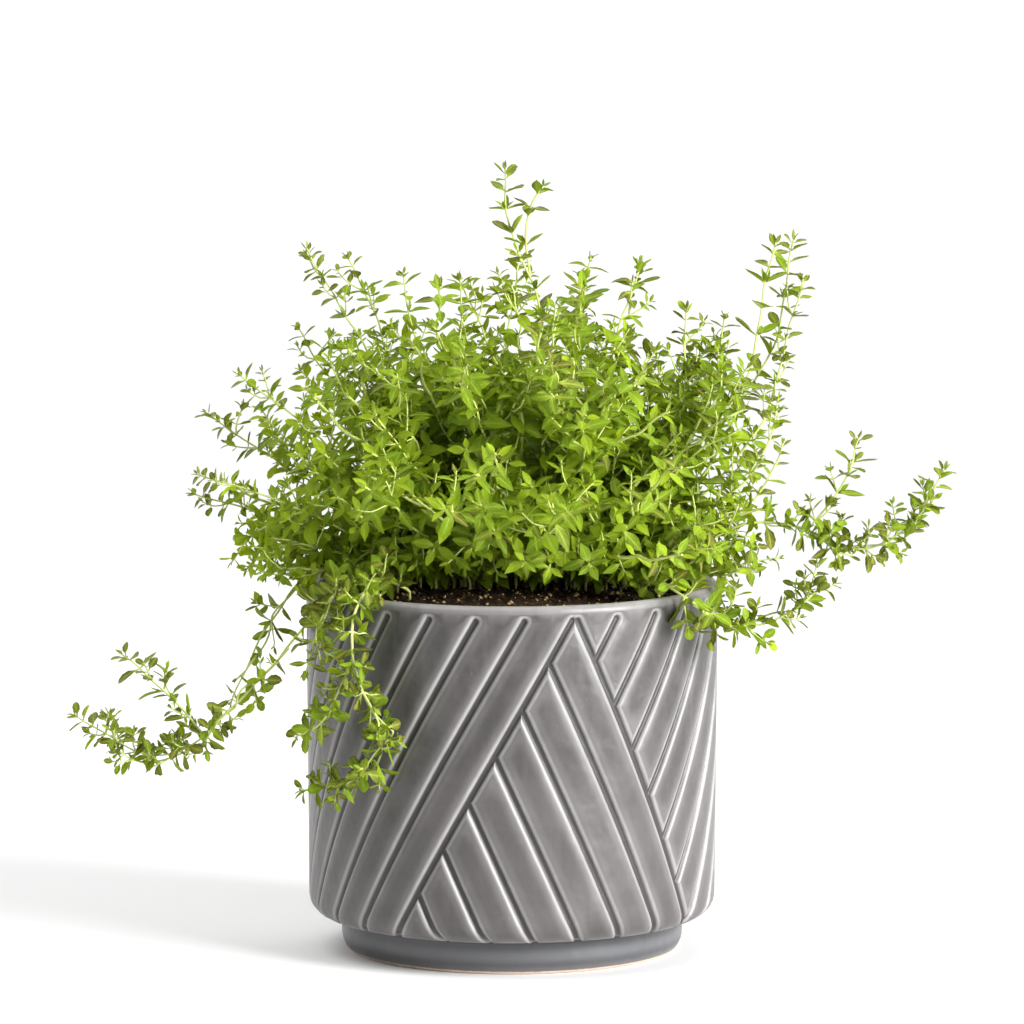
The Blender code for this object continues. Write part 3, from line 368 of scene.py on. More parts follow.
def power_setting(name, description, default):
    return bpy.props.FloatProperty(
        name=name, description=description, default=default, min=0.0, unit="POWER",
    )


class PlanterSettings(bpy.types.PropertyGroup):
    """The planter's grooves and glaze."""

    groove_depth: length_setting("Groove depth", "How deep the grooves are cut", 1.05, 0.2, 2.0)
    glaze: colour_setting("Glaze", "The glaze on the slats", (0.0645, 0.0592, 0.0580))
    # Broken glaze also colours the painted highlights on the lip and on the body's lower edge
    broken_glaze_and_highlight: colour_setting("Broken glaze", "Where the glaze runs thin over edges", (0.34, 0.325, 0.32))
    # Pooled glaze also colours the painted shade under the lip and in the recess under the body
    pooled_glaze_and_shade: colour_setting("Pooled glaze", "Where it fills the grooves", (0.034, 0.0325, 0.032))
    clay: colour_setting("Clay", "The bare clay of the foot", (0.72, 0.56, 0.44))
    gloss: share_setting("Gloss roughness", "How blurred the glaze's reflections are", 0.34)


class SoilSettings(bpy.types.PropertyGroup):
    """The potting soil and its crumbs."""

    crumb_size: length_setting("Crumb size", "A middling crumb's width", 1.3, 0.5, 4.0)
    crumb_spacing: length_setting("Crumb spacing", "How far apart the crumbs lie", 2.3, 1.5, 8.0)
    dark: colour_setting("Dark peat", "Damp peat in the hollows", (0.012, 0.007, 0.004))
    light: colour_setting("Dry peat", "Dry peat on the crumbs", (0.098, 0.051, 0.021))
    chip: colour_setting("Chips", "Bark and husk chips", (0.60, 0.40, 0.17))


class ThymeSettings(bpy.types.PropertyGroup):
    """The thyme's leaves and stems."""

    leaf_length: length_setting("Leaf length", "A full-grown leaf's length", 7.3, 4.0, 10.0)
    pair_spacing: length_setting("Pair spacing", "How far apart pairs of leaves sit", 7.6, 4.0, 14.0)
    stem_thickness: length_setting("Stem thickness", "A stem's width at its foot", 1.08, 0.5, 2.0)
    tip_thickness: length_setting("Tip thickness", "A stem's width at its tip", 0.52, 0.3, 1.2)
    young_leaf: colour_setting("Young leaf", "The brightest leaves", (0.44, 0.60, 0.026))
    full_leaf: colour_setting("Full leaf", "Most leaves", (0.200, 0.335, 0.012))
    old_leaf: colour_setting("Old leaf", "The deepest leaves", (0.166, 0.150, 0.026))
    midrib: colour_setting("Midrib", "The line down a leaf", (0.57, 0.70, 0.115))
    young_stem: colour_setting("Young stem", "Fresh stems", (0.68, 0.77, 0.20))
    outer_stem: colour_setting("Outer stem", "Stems in the open light", (0.47, 0.54, 0.17))
    woody_stem: colour_setting("Woody stem", "Old stems near the soil", (0.115, 0.07, 0.034))
    twigs: share_setting("Twigs", "How many leaves have a twig in their axil", 0.24)
    axil_leaves: share_setting("Axil leaves", "How many leaves have small ones in their axil", 0.5)


class StageSettings(bpy.types.PropertyGroup):
    """The floor and the lights."""

    floor: colour_setting("Floor", "The paper the planter stands on", (0.82, 0.82, 0.82))
    key: power_setting("Key light", "The soft light on the right", 49.0)
    bank: power_setting("Bank light", "The wide light overhead and behind", 25.0)
    backdrop: power_setting("Backdrop light", "The light on the paper far behind", 70.0)
    fill: power_setting("Fill light", "The weak light on the left", 0.5)
    top: power_setting("Top light", "The soft light above the thyme", 6.4)
    back: power_setting("Back light", "The soft light behind on the left", 5.0)
    surround: bpy.props.FloatProperty(
        name="Surround", description="How bright the studio is all round", default=0.20, min=0.0, max=4.0,
    )


# Node trees


def scaled(colour, factor):
    return [factor * part for part in colour]


def free_socket(sockets, key):
    """A node's socket by number, or by name among those that its settings leave in use."""
    if isinstance(key, int):
        return sockets[key]
    return next(s for s in sockets if s.name == key and s.enabled and not s.is_unavailable)


class Socket:
    """An output that can stand in an expression: each operator adds a Math node."""

    def __init__(self, recipe, output):
        self.recipe = recipe
        self.output = output

    def math(self, operation, *terms):
        return self.recipe.math(operation, self, *terms)

    def __add__(self, other):
        return self.math("ADD", other)

    def __sub__(self, other):
        return self.math("SUBTRACT", other)

    def __mul__(self, other):
        return self.math("MULTIPLY", other)

    def __rsub__(self, other):
        return self.recipe.math("SUBTRACT", other, self)

    def __rtruediv__(self, other):
        return self.recipe.math("DIVIDE", other, self)

    __radd__ = __add__
    __rmul__ = __mul__

    def __abs__(self):
        return self.math("ABSOLUTE")


class Recipe:
    """Adds nodes to one tree."""

    def __init__(self, tree):
        self.tree = tree

    def node(self, kind, settings=None, inputs=None, output=0):
        """One node from its type, its settings and what fills its sockets. Returns one output."""
        node = self.tree.nodes.new(kind)
        for name, value in (settings or {}).items():
            setattr(node, name, value)
        for key, value in (inputs or {}).items():
            self.fill(free_socket(node.inputs, key), value)
        return Socket(self, free_socket(node.outputs, output)) if node.outputs else None

    def fill(self, socket, value):
        """Links or sets a socket. A colour of three parts becomes opaque."""
        if isinstance(value, Socket):
            self.tree.links.new(value.output, socket)
        elif hasattr(value, "__len__") and not isinstance(value, str):
            value = tuple(value)
            wanted = len(socket.default_value)
            socket.default_value = value if len(value) == wanted else (*value, 1.0)
        else:
            socket.default_value = value

    def math(self, operation, *terms):
        return self.node("ShaderNodeMath", {"operation": operation}, dict(enumerate(terms)))


class Shading(Recipe):
    """The nodes of one material, with its Principled shader."""

    def __init__(self, name):
        self.material = bpy.data.materials.new(name)
        self.material.use_nodes = True
        super().__init__(self.material.node_tree)
        self.tree.nodes.clear()
        self.place = self.node("ShaderNodeTexCoord", output="Object")

    def mix(self, share, first, second):
        return self.node(
            "ShaderNodeMix", {"data_type": "RGBA"}, {"Factor": share, "A": first, "B": second}, "Result"
        )

    def step(self, value, low, high):
        """0 below low, 1 above high and a smooth climb between them."""
        return self.node(
            "ShaderNodeMapRange", {"interpolation_type": "SMOOTHSTEP"},
            {"Value": value, "From Min": low, "From Max": high}, "Result",
        )

    def noise(self, scale, detail=2.0, roughness=0.5, place=None):
        return self.node(
            "ShaderNodeTexNoise", {},
            {"Vector": place or self.place, "Scale": scale, "Detail": detail, "Roughness": roughness}, "Fac",
        )

    def stretched(self, x, y, z):
        """The object's coordinates, each scaled."""
        return self.node("ShaderNodeVectorMath", {"operation": "MULTIPLY"}, {0: self.place, 1: (x, y, z)})

    def attribute(self, name):
        return self.node("ShaderNodeAttribute", {"attribute_name": name}, output="Fac")

    def axis(self, name):
        return self.node("ShaderNodeSeparateXYZ", {}, {"Vector": self.place}, name)

    def bump(self, height, strength, distance):
        return self.node("ShaderNodeBump", {}, {"Height": height, "Strength": strength, "Distance": distance})

    def principled(self, inputs):
        return self.node("ShaderNodeBsdfPrincipled", {}, inputs)

    def finish(self, shader):
        self.node("ShaderNodeOutputMaterial", {}, {"Surface": shader})
        return self.material


def glaze_material(settings):
    """Grey glaze that breaks pale over edges, pools dark in grooves and leaves the foot's clay bare, with
    painted light: lighter towards the body's bottom, a darker foot with a painted reflection band, painted
    highlights on the lip and the body's lower edge, and painted shade under the lip and under the body.
    """
    s = Shading("grey_glaze")
    # How pale or dark the glaze is painted along the profile: glaze breaks, painted highlights on the lip and
    # the body's lower edge, and painted shade under the lip and under the body
    thin = s.attribute("glaze_thinness")
    gap = s.attribute("groove_distance")
    height = s.axis("Z")
    clouds = s.noise(58.0, 4.0, 0.62)
    streaks = s.noise(1.0, 2.0, 0.55, s.stretched(300.0, 300.0, 30.0))
    drift = s.noise(620.0, 2.0, 0.6)
    body = s.mix(s.step(clouds, 0.36, 0.66), scaled(settings.glaze, 0.7), scaled(settings.glaze, 1.14))
    body = s.mix(s.step(streaks, 0.45, 0.75) * 0.4, body, scaled(settings.glaze, 1.4))
    # Painted light: the body is painted lighter towards its bottom, for the light thrown up from the floor
    # and the shade of the thyme above
    body = s.mix(0.42 - s.step(height, 0.03, 0.095) * 0.42, body, scaled(settings.glaze, 1.75))
    shoulder = 1.0 - s.step(gap, 1.35, 2.6) * 0.78 - s.step(gap, 2.2, 5.4) * 0.22
    crest = s.step(gap, 0.72, 1.2) * shoulder
    # Adds the profile's pale marks: glaze breaking thin, and the painted highlights on the lip and the body's
    # lower edge
    crest = crest.math("MAXIMUM", s.step(thin, 0.0, 1.0))
    crest = crest * (0.62 + clouds * 0.55 + (streaks - 0.5) * 0.35)
    colour = s.mix(crest, body, settings.broken_glaze_and_highlight)
    # Dark glaze pooled in the grooves, and painted shade under the lip and in the recess under the body
    pool_and_shade = (1.0 - s.step(gap, 0.3, 0.98)).math("MAXIMUM", 1.0 - s.step(thin, -0.9, -0.1))
    colour = s.mix(pool_and_shade * 0.9, colour, settings.pooled_glaze_and_shade)
    # Painted shade and reflection: the foot is painted a darker blue-grey for the shade under the body's
    # overhang, and a paler band across its middle is a painted reflection
    foot = 1.0 - s.step(height, 0.0096, 0.0112)
    painted_reflection_band = s.step(height, 0.0028, 0.0058) * (1.0 - s.step(height, 0.0064, 0.009))
    colour = s.mix(foot * 0.75, colour, s.mix(painted_reflection_band, (0.062, 0.064, 0.071), (0.125, 0.13, 0.14)))
    fleck = s.step(drift, 0.7, 0.78) * 0.12
    colour = s.mix(fleck, colour, settings.broken_glaze_and_highlight)
    bare = 1.0 - s.step(height + (drift - 0.5) * 0.0004, 0.0007, 0.00125)
    colour = s.mix(bare, colour, settings.clay)
    roughness = settings.gloss + clouds * 0.1 + bare * 0.5
    pillow = 1.0 - s.step(gap, 0.9, 4.6)
    wave = s.noise(85.0, 2.0, 0.5) * 0.75 + s.noise(360.0, 1.0, 0.5) * 0.08 - pillow * pillow * 0.42
    shader = s.principled({
        "Base Color": colour,
        "Roughness": roughness,
        "IOR": 1.47,
        "Coat Weight": (1.0 - bare) * 0.15,
        "Coat Roughness": 0.2,
        "Normal": s.bump(wave, 1.0, 0.001),
    })
    return s.finish(shader)


def peat_material(settings):
    """Damp potting soil, dark in its hollows and drier on top."""
    s = Shading("potting_soil")
    grain = s.noise(480.0, 4.0, 0.7)
    patches = s.noise(90.0, 2.0, 0.5)
    colour = s.mix(s.step(grain, 0.38, 0.72), settings.dark, settings.light)
    colour = s.mix(s.step(patches, 0.5, 0.8) * 0.5, colour, settings.dark)
    colour = s.mix(s.step(s.noise(900.0, 1.0), 0.72, 0.78) * 0.8, colour, settings.chip)
    shader = s.principled({
        "Base Color": colour,
        "Roughness": 0.82 + grain * 0.16,
        "Specular IOR Level": 0.25,
        "Normal": s.bump(grain, 0.9, 0.0009),
    })
    return s.finish(shader)


def crumb_material(settings):
    """Crumbs of peat, with tan chips among them in loose patches."""
    s = Shading("peat_crumbs")
    tint = s.attribute("tint")
    grain = s.noise(1100.0, 3.0, 0.65)
    peat = s.mix(s.step(grain + tint * 0.4 - 0.2, 0.3, 0.75), settings.dark, settings.light)
    chip = s.mix(grain, scaled(settings.chip, 0.45), scaled(settings.chip, 1.25))
    pale = s.step(tint + (s.noise(70.0, 2.0) - 0.5) * 1.1, 0.71, 0.75)
    colour = s.mix(pale, peat, chip)
    shader = s.principled({
        "Base Color": colour,
        "Roughness": 0.9 - pale * 0.3,
        "Specular IOR Level": 0.3,
        "Normal": s.bump(grain, 0.7, 0.0004),
    })
    return s.finish(shader)


def leaf_material(settings):
    """Thyme leaves: green by age, paler down the midrib and underneath, and lit through by the light."""
    s = Shading("thyme_leaf")
    tone = s.attribute("tone")
    across = abs(s.attribute("across"))
    along = s.attribute("along")
    under = s.attribute("under")
    mottle = s.noise(260.0, 3.0, 0.6)
    shade = tone + (mottle - 0.5) * 0.5
    colour = s.mix(s.step(shade, 0.0, 0.5), settings.young_leaf, settings.full_leaf)
    colour = s.mix(s.step(shade, 0.5, 1.05), colour, settings.old_leaf)
    rim = s.step(across, 0.42, 1.0) * (0.04 + s.step(tone, 0.35, 0.85) * 0.8)
    colour = s.mix(rim, colour, (0.048, 0.062, 0.009))
    rib = (1.0 - s.step(across, 0.04, 0.26)) * (1.0 - s.step(along, 0.55, 1.0) * 0.6)
    colour = s.mix(rib * 0.55, colour, settings.midrib)
    vein = (along * 26.0 - across * 7.0).math("SINE")
    colour = s.mix(s.step(vein, 0.55, 1.0) * 0.14, colour, settings.midrib)
    colour = s.mix(under * 0.35, colour, (0.26, 0.38, 0.07))
    colour = s.mix((1.0 - s.step(along, 0.02, 0.42)) * 0.9, colour, settings.midrib)
    height = vein * 0.25 - rib * 0.8 + mottle * 0.4
    face = s.principled({
        "Base Color": colour,
        "Roughness": 0.5 + mottle * 0.14 + under * 0.2,
        "Specular IOR Level": 0.17,
        "Normal": s.bump(height, 0.5, 0.00025),
    })
    glow = s.node("ShaderNodeBsdfTranslucent", {}, {"Color": (0.62, 0.68, 0.035)})
    share = 0.53 - tone * 0.17 - rim * 0.36
    return s.finish(s.node("ShaderNodeMixShader", {}, {0: share, 1: face, 2: glow}))


def stem_material(settings):
    """Stems: pale yellow-green with fine ribs, turning brown and woody near the soil."""
    s = Shading("thyme_stem")
    bark = s.attribute("bark")
    patches = s.noise(140.0, 3.0, 0.6)
    colour = s.mix(s.attribute("tone") * 0.85, settings.young_stem, settings.outer_stem)
    colour = s.mix(patches * 0.5, colour, settings.outer_stem)
    colour = s.mix(s.step(bark + (patches - 0.5) * 0.7, 0.25, 0.9), colour, settings.woody_stem)
    shader = s.principled({
        "Base Color": colour,
        "Roughness": 0.5 + bark * 0.25,
        "Specular IOR Level": 0.4,
        "Subsurface Weight": 0.12,
        "Subsurface Radius": (0.0006, 0.0008, 0.0002),
        "Normal": s.bump(patches, 0.4, 0.0002),
    })
    return s.finish(shader)


def floor_material(settings):
    """Matt white paper with a faint tooth."""
    s = Shading("white_paper")
    tooth = s.noise(240.0, 2.0)
    colour = s.mix(tooth, settings.floor, scaled(settings.floor, 0.99))
    shader = s.principled({
        "Base Color": colour,
        "Roughness": 0.75 + tooth * 0.1,
        "Specular IOR Level": 0.15,
        "Normal": s.bump(tooth, 0.05, 0.0002),
    })
    return s.finish(shader)


# Meshes


def smooth_shape(points, faces, values):
    """A smooth mesh in the making, with a value for each point under each name."""
    shape = bmesh.new()
    layers = {key: shape.verts.layers.float.new(key) for key in values}
    corners = [shape.verts.new(point) for point in points]
    for key, layer in layers.items():
        for corner, value in zip(corners, values[key]):
            corner[layer] = value
    for face in faces:
        shape.faces.new([corners[i] for i in face]).smooth = True
    return shape


def add_body(name, points, faces, values=None):
    """A smooth closed body from points in millimetres, with a value for each point if given."""
    shape = smooth_shape([Vector(point) * MM for point in points], faces, values or {})
    bmesh.ops.remove_doubles(shape, verts=shape.verts, dist=MERGE_DISTANCE * MM)
    bmesh.ops.dissolve_degenerate(shape, edges=shape.edges, dist=MERGE_DISTANCE * MM * 0.5)
    bmesh.ops.recalc_face_normals(shape, faces=shape.faces)
    mesh = bpy.data.meshes.new(name)
    shape.to_mesh(mesh)
    shape.free()
    return add_object(name, mesh)


def add_object(name, mesh):
    obj = bpy.data.objects.new(name, mesh)
    bpy.context.scene.collection.objects.link(obj)
    return obj


def clipped(value):
    return max(0.0, min(1.0, value))


def around(radius, height, angle):
    """A point at an angle from the front, counted towards the right."""
    return radius * math.sin(angle), -radius * math.cos(angle), height


def ring_stack(profile, first_angle, sides=POT_SIDES):
    """Rings of a turned surface from rows of radius and height; a radius of 0 closes it."""
    points, faces, rings = [], [], []
    for radius, height, *_ in profile:
        count = sides if radius else 1
        ring = [len(points) + i for i in range(count)]
        points.extend(around(radius, height, first_angle + 2 * math.pi * i / sides) for i in range(count))
        rings.append(ring)
    for low, high in zip(rings, rings[1:]):
        for i in range(sides):
            j = (i + 1) % sides
            if len(high) == 1:
                faces.append((low[i], low[j], high[0]))
            else:
                faces.append((low[i], low[j], high[j], high[i]))
    return points, faces


def settle_piece(obj, material, slot, *nodes):
    """Gives a finished piece its material and its body, and hides the frame parts it stands for; the slot is
    not used.
    """
    if material is not None:
        obj.data.materials.clear()
        obj.data.materials.append(material)
    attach(obj, "root")
    if nodes:
        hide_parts(*nodes)


# Planter


def wall_point(run):
    """Radius, height and outward direction at a distance run up the outer surface from the foot."""
    if run <= UNDERSIDE_RUN:
        return FOOT_RADIUS + FOOT_FILLET + run, FOOT_HEIGHT, 0.0, -1.0
    if run <= UNDERSIDE_RUN + CORNER_RUN:
        turn = (run - UNDERSIDE_RUN) / CORNER_ROUND
        radius = CORNER_CENTRE_RADIUS + CORNER_ROUND * math.sin(turn)
        height = FOOT_HEIGHT + CORNER_ROUND - CORNER_ROUND * math.cos(turn)
        return radius, height, math.sin(turn), -math.cos(turn)
    climb = run - UNDERSIDE_RUN - CORNER_RUN
    radius = POT_RADIUS - WALL_TAPER * (1 - climb / WALL_HEIGHT)
    return radius, FOOT_HEIGHT + CORNER_ROUND + climb, 1.0, 0.0


def rising_line(slat, run):
    """Where a groove that climbs to the right stands at a height, as a length round the wall."""
    return POT_RADIUS * (FIRST_SLAT_ANGLE + slat * SLAT_ANGLE + RISE_ANGLE * (run - GROOVE_DATUM))


def falling_line(slat, run):
    return POT_RADIUS * (FIRST_SLAT_ANGLE + slat * SLAT_ANGLE - FALL_ANGLE * (run - GROOVE_DATUM))


def seam_line(run):
    return rising_line(-0.5, run)


def groove_lines():
    """The centre lines of all grooves, each as two ends on the flat wall.

    Most grooves climb to the right from the lower edge to the lip. In each fan, grooves that climb
    to the left fill the triangle right of the fan's first groove, and cut short those beyond it.
    """
    high_end = GROOVE_HIGH_END - FOOT_HEIGHT - CORNER_ROUND + UNDERSIDE_RUN + CORNER_RUN
    meeting_step = SLAT_ANGLE / (RISE_ANGLE + FALL_ANGLE)
    low_end = {slat: GROOVE_LOW_END for slat in range(SLATS_ROUND)}
    lines = []
    for start in FAN_STARTS:
        for step in range(1, FAN_SLATS + 1):
            top = min(high_end, GROOVE_DATUM + step * meeting_step)
            slat = start + step
            foot = (falling_line(slat, GROOVE_LOW_END), GROOVE_LOW_END)
            lines.append((foot, (falling_line(slat, top), top)))
            low_end[slat] = GROOVE_DATUM + (FAN_SLATS - step) * meeting_step
    for slat, low in low_end.items():
        lines.append(((rising_line(slat, low), low), (rising_line(slat, high_end), high_end)))
    return lines


def groove_distances(flat, lines):
    """How far each point of the flat wall lies from the nearest groove's centre line."""
    places = np.array([(point[0], point[1]) for point in flat])
    nearest = np.full(len(places), 1e9)
    for (ax, ay), (bx, by) in lines:
        way = np.array([bx - ax, by - ay])
        offset = places - (ax, ay)
        along = np.clip(offset @ way / (way @ way), 0.0, 1.0)
        nearest = np.minimum(nearest, np.linalg.norm(offset - along[:, None] * way, axis=1))
    return nearest


def groove_outline(line, offset):
    """A closed line round a groove at an offset from its centre line, kept off the wall's edges."""
    (ax, ay), (bx, by) = line
    length = math.hypot(bx - ax, by - ay)
    ux, uy = (bx - ax) / length, (by - ay) / length
    outline = []
    for x, y, first_turn in ((bx, by, -math.pi / 2), (ax, ay, math.pi / 2)):
        for step in range(OUTLINE_BENDS + 1):
            turn = first_turn + math.pi * step / OUTLINE_BENDS
            along, across = offset * math.cos(turn), offset * math.sin(turn)
            outline.append((x + ux * along - uy * across, y + uy * along + ux * across))
    outline.append(outline[0])
    return [(x, min(max(y, PATTERN_MARGIN), WALL_TOP - PATTERN_MARGIN)) for x, y in outline]


def divided(chain, step):
    """A line with points added so that none are further apart than a step."""
    points = [chain[0]]
    for (ax, ay), (bx, by) in zip(chain, chain[1:]):
        count = max(1, math.ceil(math.hypot(bx - ax, by - ay) / step))
        points.extend((ax + (bx - ax) * i / count, ay + (by - ay) * i / count) for i in range(1, count + 1))
    return points


def flat_wall_mesh(lines):
    """The unrolled wall as triangles that follow every groove, as flat points and faces."""
    turn = 2 * math.pi * POT_RADIUS
    points, edges = [], []

    def add_chain(chain):
        first = len(points)
        points.extend(Vector(point) for point in chain)
        edges.extend((first + i, first + i + 1) for i in range(len(chain) - 1))

    for run in (0.0, WALL_TOP):
        add_chain([(seam_line(run) + turn * i / POT_SIDES, run) for i in range(POT_SIDES + 1)])
    rows = max(2, round(WALL_TOP / SLAT_STEP))
    for shift in (0.0, turn):
        add_chain([(seam_line(run) + shift, run) for run in np.linspace(0.0, WALL_TOP, rows)])
    for line in lines:
        for offset in OUTLINE_OFFSETS:
            chain = groove_outline(line, offset) if offset else list(line)
            add_chain(divided(chain, OUTLINE_STEP))
    grid = []
    for row in range(1, int(WALL_TOP / (SLAT_STEP * ROW_SHARE))):
        run = row * SLAT_STEP * ROW_SHARE
        if run < WALL_TOP - 0.8:
            start = seam_line(run) + (0.75 if row % 2 else 1.25) * SLAT_STEP
            count = int((turn - 2 * SLAT_STEP) / SLAT_STEP)
            grid.extend((start + i * SLAT_STEP, run) for i in range(count))
    clear = groove_distances(grid, lines) > OUTLINE_OFFSETS[-1] + GROOVE_MARGIN
    points.extend(Vector(point) for point, is_clear in zip(grid, clear) if is_clear)
    flat, _, faces, *_ = delaunay_2d_cdt(points, edges, [], 0, CDT_TOLERANCE)
    kept = []
    for face in faces:
        middle = sum((flat[i] for i in face), Vector((0.0, 0.0))) / 3
        past_seam = middle.x - seam_line(middle.y)
        if EDGE_MARGIN < past_seam < turn - EDGE_MARGIN and EDGE_MARGIN < middle.y < WALL_TOP - EDGE_MARGIN:
            kept.append(face)
    return flat, kept


def planter_wall(depth):
    """The grooved wall: points, faces, how pale or dark the glaze is painted up the wall (glaze breaking thin
    with a painted highlight along the body's lower edge, and painted shade just under the lip) and how far
    off the nearest groove is.
    """
    lines = groove_lines()
    flat, faces = flat_wall_mesh(lines)
    distances = groove_distances(flat, lines)
    span = GROOVE_HALF_WIDTH - GROOVE_FLOOR_HALF_WIDTH
    share = np.clip((GROOVE_HALF_WIDTH - distances) / span, 0.0, 1.0)
    cut = depth * share * share * (3 - 2 * share)
    corner = UNDERSIDE_RUN
    points, break_and_light = [], []
    for place, lower in zip(flat, cut):
        radius, height, out, up = wall_point(place.y)
        points.append(around(radius - lower * out, height - lower * up, place.x / POT_RADIUS))
        # Up the wall: paler where the body's lower edge turns, glaze breaking thin there with a painted
        # highlight along it, and a line of painted shade just under the lip
        break_and_light.append(float(np.interp(
            place.y,
            [0.0, corner, corner + 2.6, corner + 5.5, WALL_TOP - 4.0, WALL_TOP - 1.6, WALL_TOP],
            [0.3, 0.9, 0.6, 0.0, 0.0, -0.25, 0.35],
        )))
    return points, faces, break_and_light, [min(float(distance), FAR_FROM_GROOVE) for distance in distances]


def inside_profile(gap=0.0):
    """Down the inner wall and in to the middle of the floor, a gap away, as radius and height."""
    radius = INNER_RADIUS - gap
    corner = FOOT_HEIGHT + WALL_THICKNESS * 0.75
    floor = UNDERSIDE_RECESS + FLOOR_THICKNESS
    return [
        (radius - 0.6, 20.0), (radius - 3.7, corner + gap), (FOOT_RADIUS - 5.0 - gap, corner - 1.5 + gap),
        (FOOT_RADIUS - 7.0 - gap, floor + gap), (0.0, floor + gap),
    ]


def lip_profile():
    """From the top of the wall over the rounded lip to the inside, as radius, height and how pale the glaze
    is painted there: glaze breaking thin over the lip, with a painted highlight along its top.
    """
    rows = [(*wall_point(WALL_TOP)[:2], 0.35)]
    for turn in range(0, 181, 12):
        angle = math.radians(turn)
        radius = POT_RADIUS - LIP_ROUND + LIP_ROUND * math.cos(angle)
        # Paler towards the top of the lip: glaze breaking thin over it, with a painted highlight along its
        # top
        thin = 0.45 + 0.5 * math.sin(angle) ** 2
        rows.append((radius, POT_HEIGHT - LIP_ROUND + LIP_ROUND * math.sin(angle), thin))
    rows += [(INNER_RADIUS, 113.0, 0.1), (INNER_RADIUS - 0.1, 108.0, 0.0)]
    return rows + [(*row, 0.0) for row in inside_profile()]


def foot_profile():
    """From the underside of the body down the foot, across its ring and in to the centre, as radius, height
    and how pale or dark the glaze is painted: painted shade in the recess under the body, and glaze breaking
    pale over the foot's lower edge.
    """
    return [
        (*wall_point(0.0)[:2], 0.3),
        (54.78, 10.86, -0.3), (54.42, 10.52, -0.8), (54.2, 10.1, -0.7), (54.05, 9.3, -0.35),
        (54.0, 8.0, -0.1), (54.0, 6.6, 0.05), (54.0, 5.4, 0.1), (53.9, 4.3, 0.1), (53.65, 3.2, 0.2),
        (53.35, 2.4, 0.45), (53.1, 1.8, 0.7), (52.75, 1.15, 0.8), (52.3, 0.6, 0.6), (51.8, 0.2, 0.4),
        (51.2, 0.0, 0.3), (47.6, 0.0, 0.3), (47.25, 0.4, 0.3), (46.95, 1.4, 0.0), (46.7, 2.5, -0.3),
        (46.0, 2.5, 0.0), (24.0, 2.5, 0.0), (0.0, 2.5, 0.0),
    ]


def make_planter(settings):
    points, faces, break_and_light, distances = planter_wall(settings.groove_depth / MM)
    for profile, angle in (
        (lip_profile(), seam_line(WALL_TOP) / POT_RADIUS),
        (foot_profile(), seam_line(0.0) / POT_RADIUS),
    ):
        more_points, more_faces = ring_stack(profile, angle)
        faces += [tuple(i + len(points) for i in face) for face in more_faces]
        points += more_points
        # The profiles' third column: pale glaze breaks, painted highlights and painted shade
        break_and_light += [row[2] for row in profile for _ in range(POT_SIDES if row[0] else 1)]
    distances += [FAR_FROM_GROOVE] * (len(points) - len(distances))
    planter = add_body("planter", points, faces, {"glaze_thinness": break_and_light, "groove_distance": distances})
    settle_piece(planter, glaze_material(settings), "glaze", "pot")


# Soil


def soil_height(x, y):
    """The soil's low mound with a few shallow dips, level where it meets the wall."""
    share = math.hypot(x, y) / INNER_RADIUS
    bumps = 0.35 * math.sin(0.21 * x + 1.0) * math.cos(0.19 * y) + 0.25 * math.sin(0.4 * y + 0.1 * x)
    return SOIL_EDGE_HEIGHT + SOIL_MOUND * (1 - share * share) + bumps * (1 - share)


def crumbled_height(x, y):
    """The soil's height with clods and grain."""
    inner = clipped((SOIL_RADIUS - math.hypot(x, y)) / 4.0)
    clods = noise.fractal(Vector((x, y, 3.0)) * 0.21, 0.9, 2.0, 4)
    grain = noise.noise(Vector((x, y, 9.0)) * 1.1)
    return soil_height(x, y) + (SOIL_ROUGHNESS * clods + GRAIN_ROUGHNESS * grain) * (0.25 + 0.75 * inner)


def soil_top(rings, sectors, edge):
    """The soil's surface as rings of points and faces."""
    points, faces = [(0.0, 0.0, crumbled_height(0.0, 0.0))], []
    for ring in range(1, rings + 1):
        radius = edge * ring / rings
        for i in range(sectors):
            x, y, _ = around(radius, 0.0, 2 * math.pi * (i + 0.5 * (ring % 2)) / sectors)
            points.append((x, y, crumbled_height(x, y)))
        first = 1 + (ring - 1) * sectors
        for i in range(sectors):
            j = (i + 1) % sectors
            if ring == 1:
                faces.append((0, first + i, first + j))
                continue
            low = first - sectors
            if ring % 2 == 0:
                faces += [(low + i, first + i, low + j), (low + j, first + i, first + j)]
            else:
                faces += [(low + i, first + i, first + j), (low + i, first + j, low + j)]
    return points, faces


def make_soil(settings):
    points, faces = soil_top(SOIL_RINGS, SOIL_SECTORS, SOIL_RADIUS)
    side = [(SOIL_RADIUS, SOIL_EDGE_HEIGHT), (SOIL_RADIUS, 105.0), *inside_profile(SOIL_GAP)]
    turn = math.pi * (SOIL_RINGS % 2) / SOIL_SECTORS
    side_points, side_faces = ring_stack(side, turn, SOIL_SECTORS)
    side_points[:SOIL_SECTORS] = points[-SOIL_SECTORS:]
    faces += [tuple(i + len(points) for i in face) for face in side_faces]
    soil = add_body("soil_bed", points + side_points, faces)
    settle_piece(soil, peat_material(settings), "soil", "soil")


def crumb_shapes():
    """A collection of small broken lumps of soil, each one unit wide."""
    shapes = bpy.data.collections.new("crumb_shapes")
    draw = random.Random(SEED)
    for number in range(CRUMB_KINDS):
        shape = bmesh.new()
        bmesh.ops.create_icosphere(shape, subdivisions=1, radius=0.5)
        stretch = (draw.uniform(0.7, 1.3), draw.uniform(0.6, 1.0), draw.uniform(0.5, 0.85))
        for vertex in shape.verts:
            swell = draw.uniform(0.75, 1.2)
            vertex.co = Vector([value * s * swell for value, s in zip(vertex.co, stretch)])
        mesh = bpy.data.meshes.new(f"crumb_{number}")
        shape.to_mesh(mesh)
        shape.free()
        shapes.objects.link(bpy.data.objects.new(f"crumb_{number}", mesh))
    return shapes


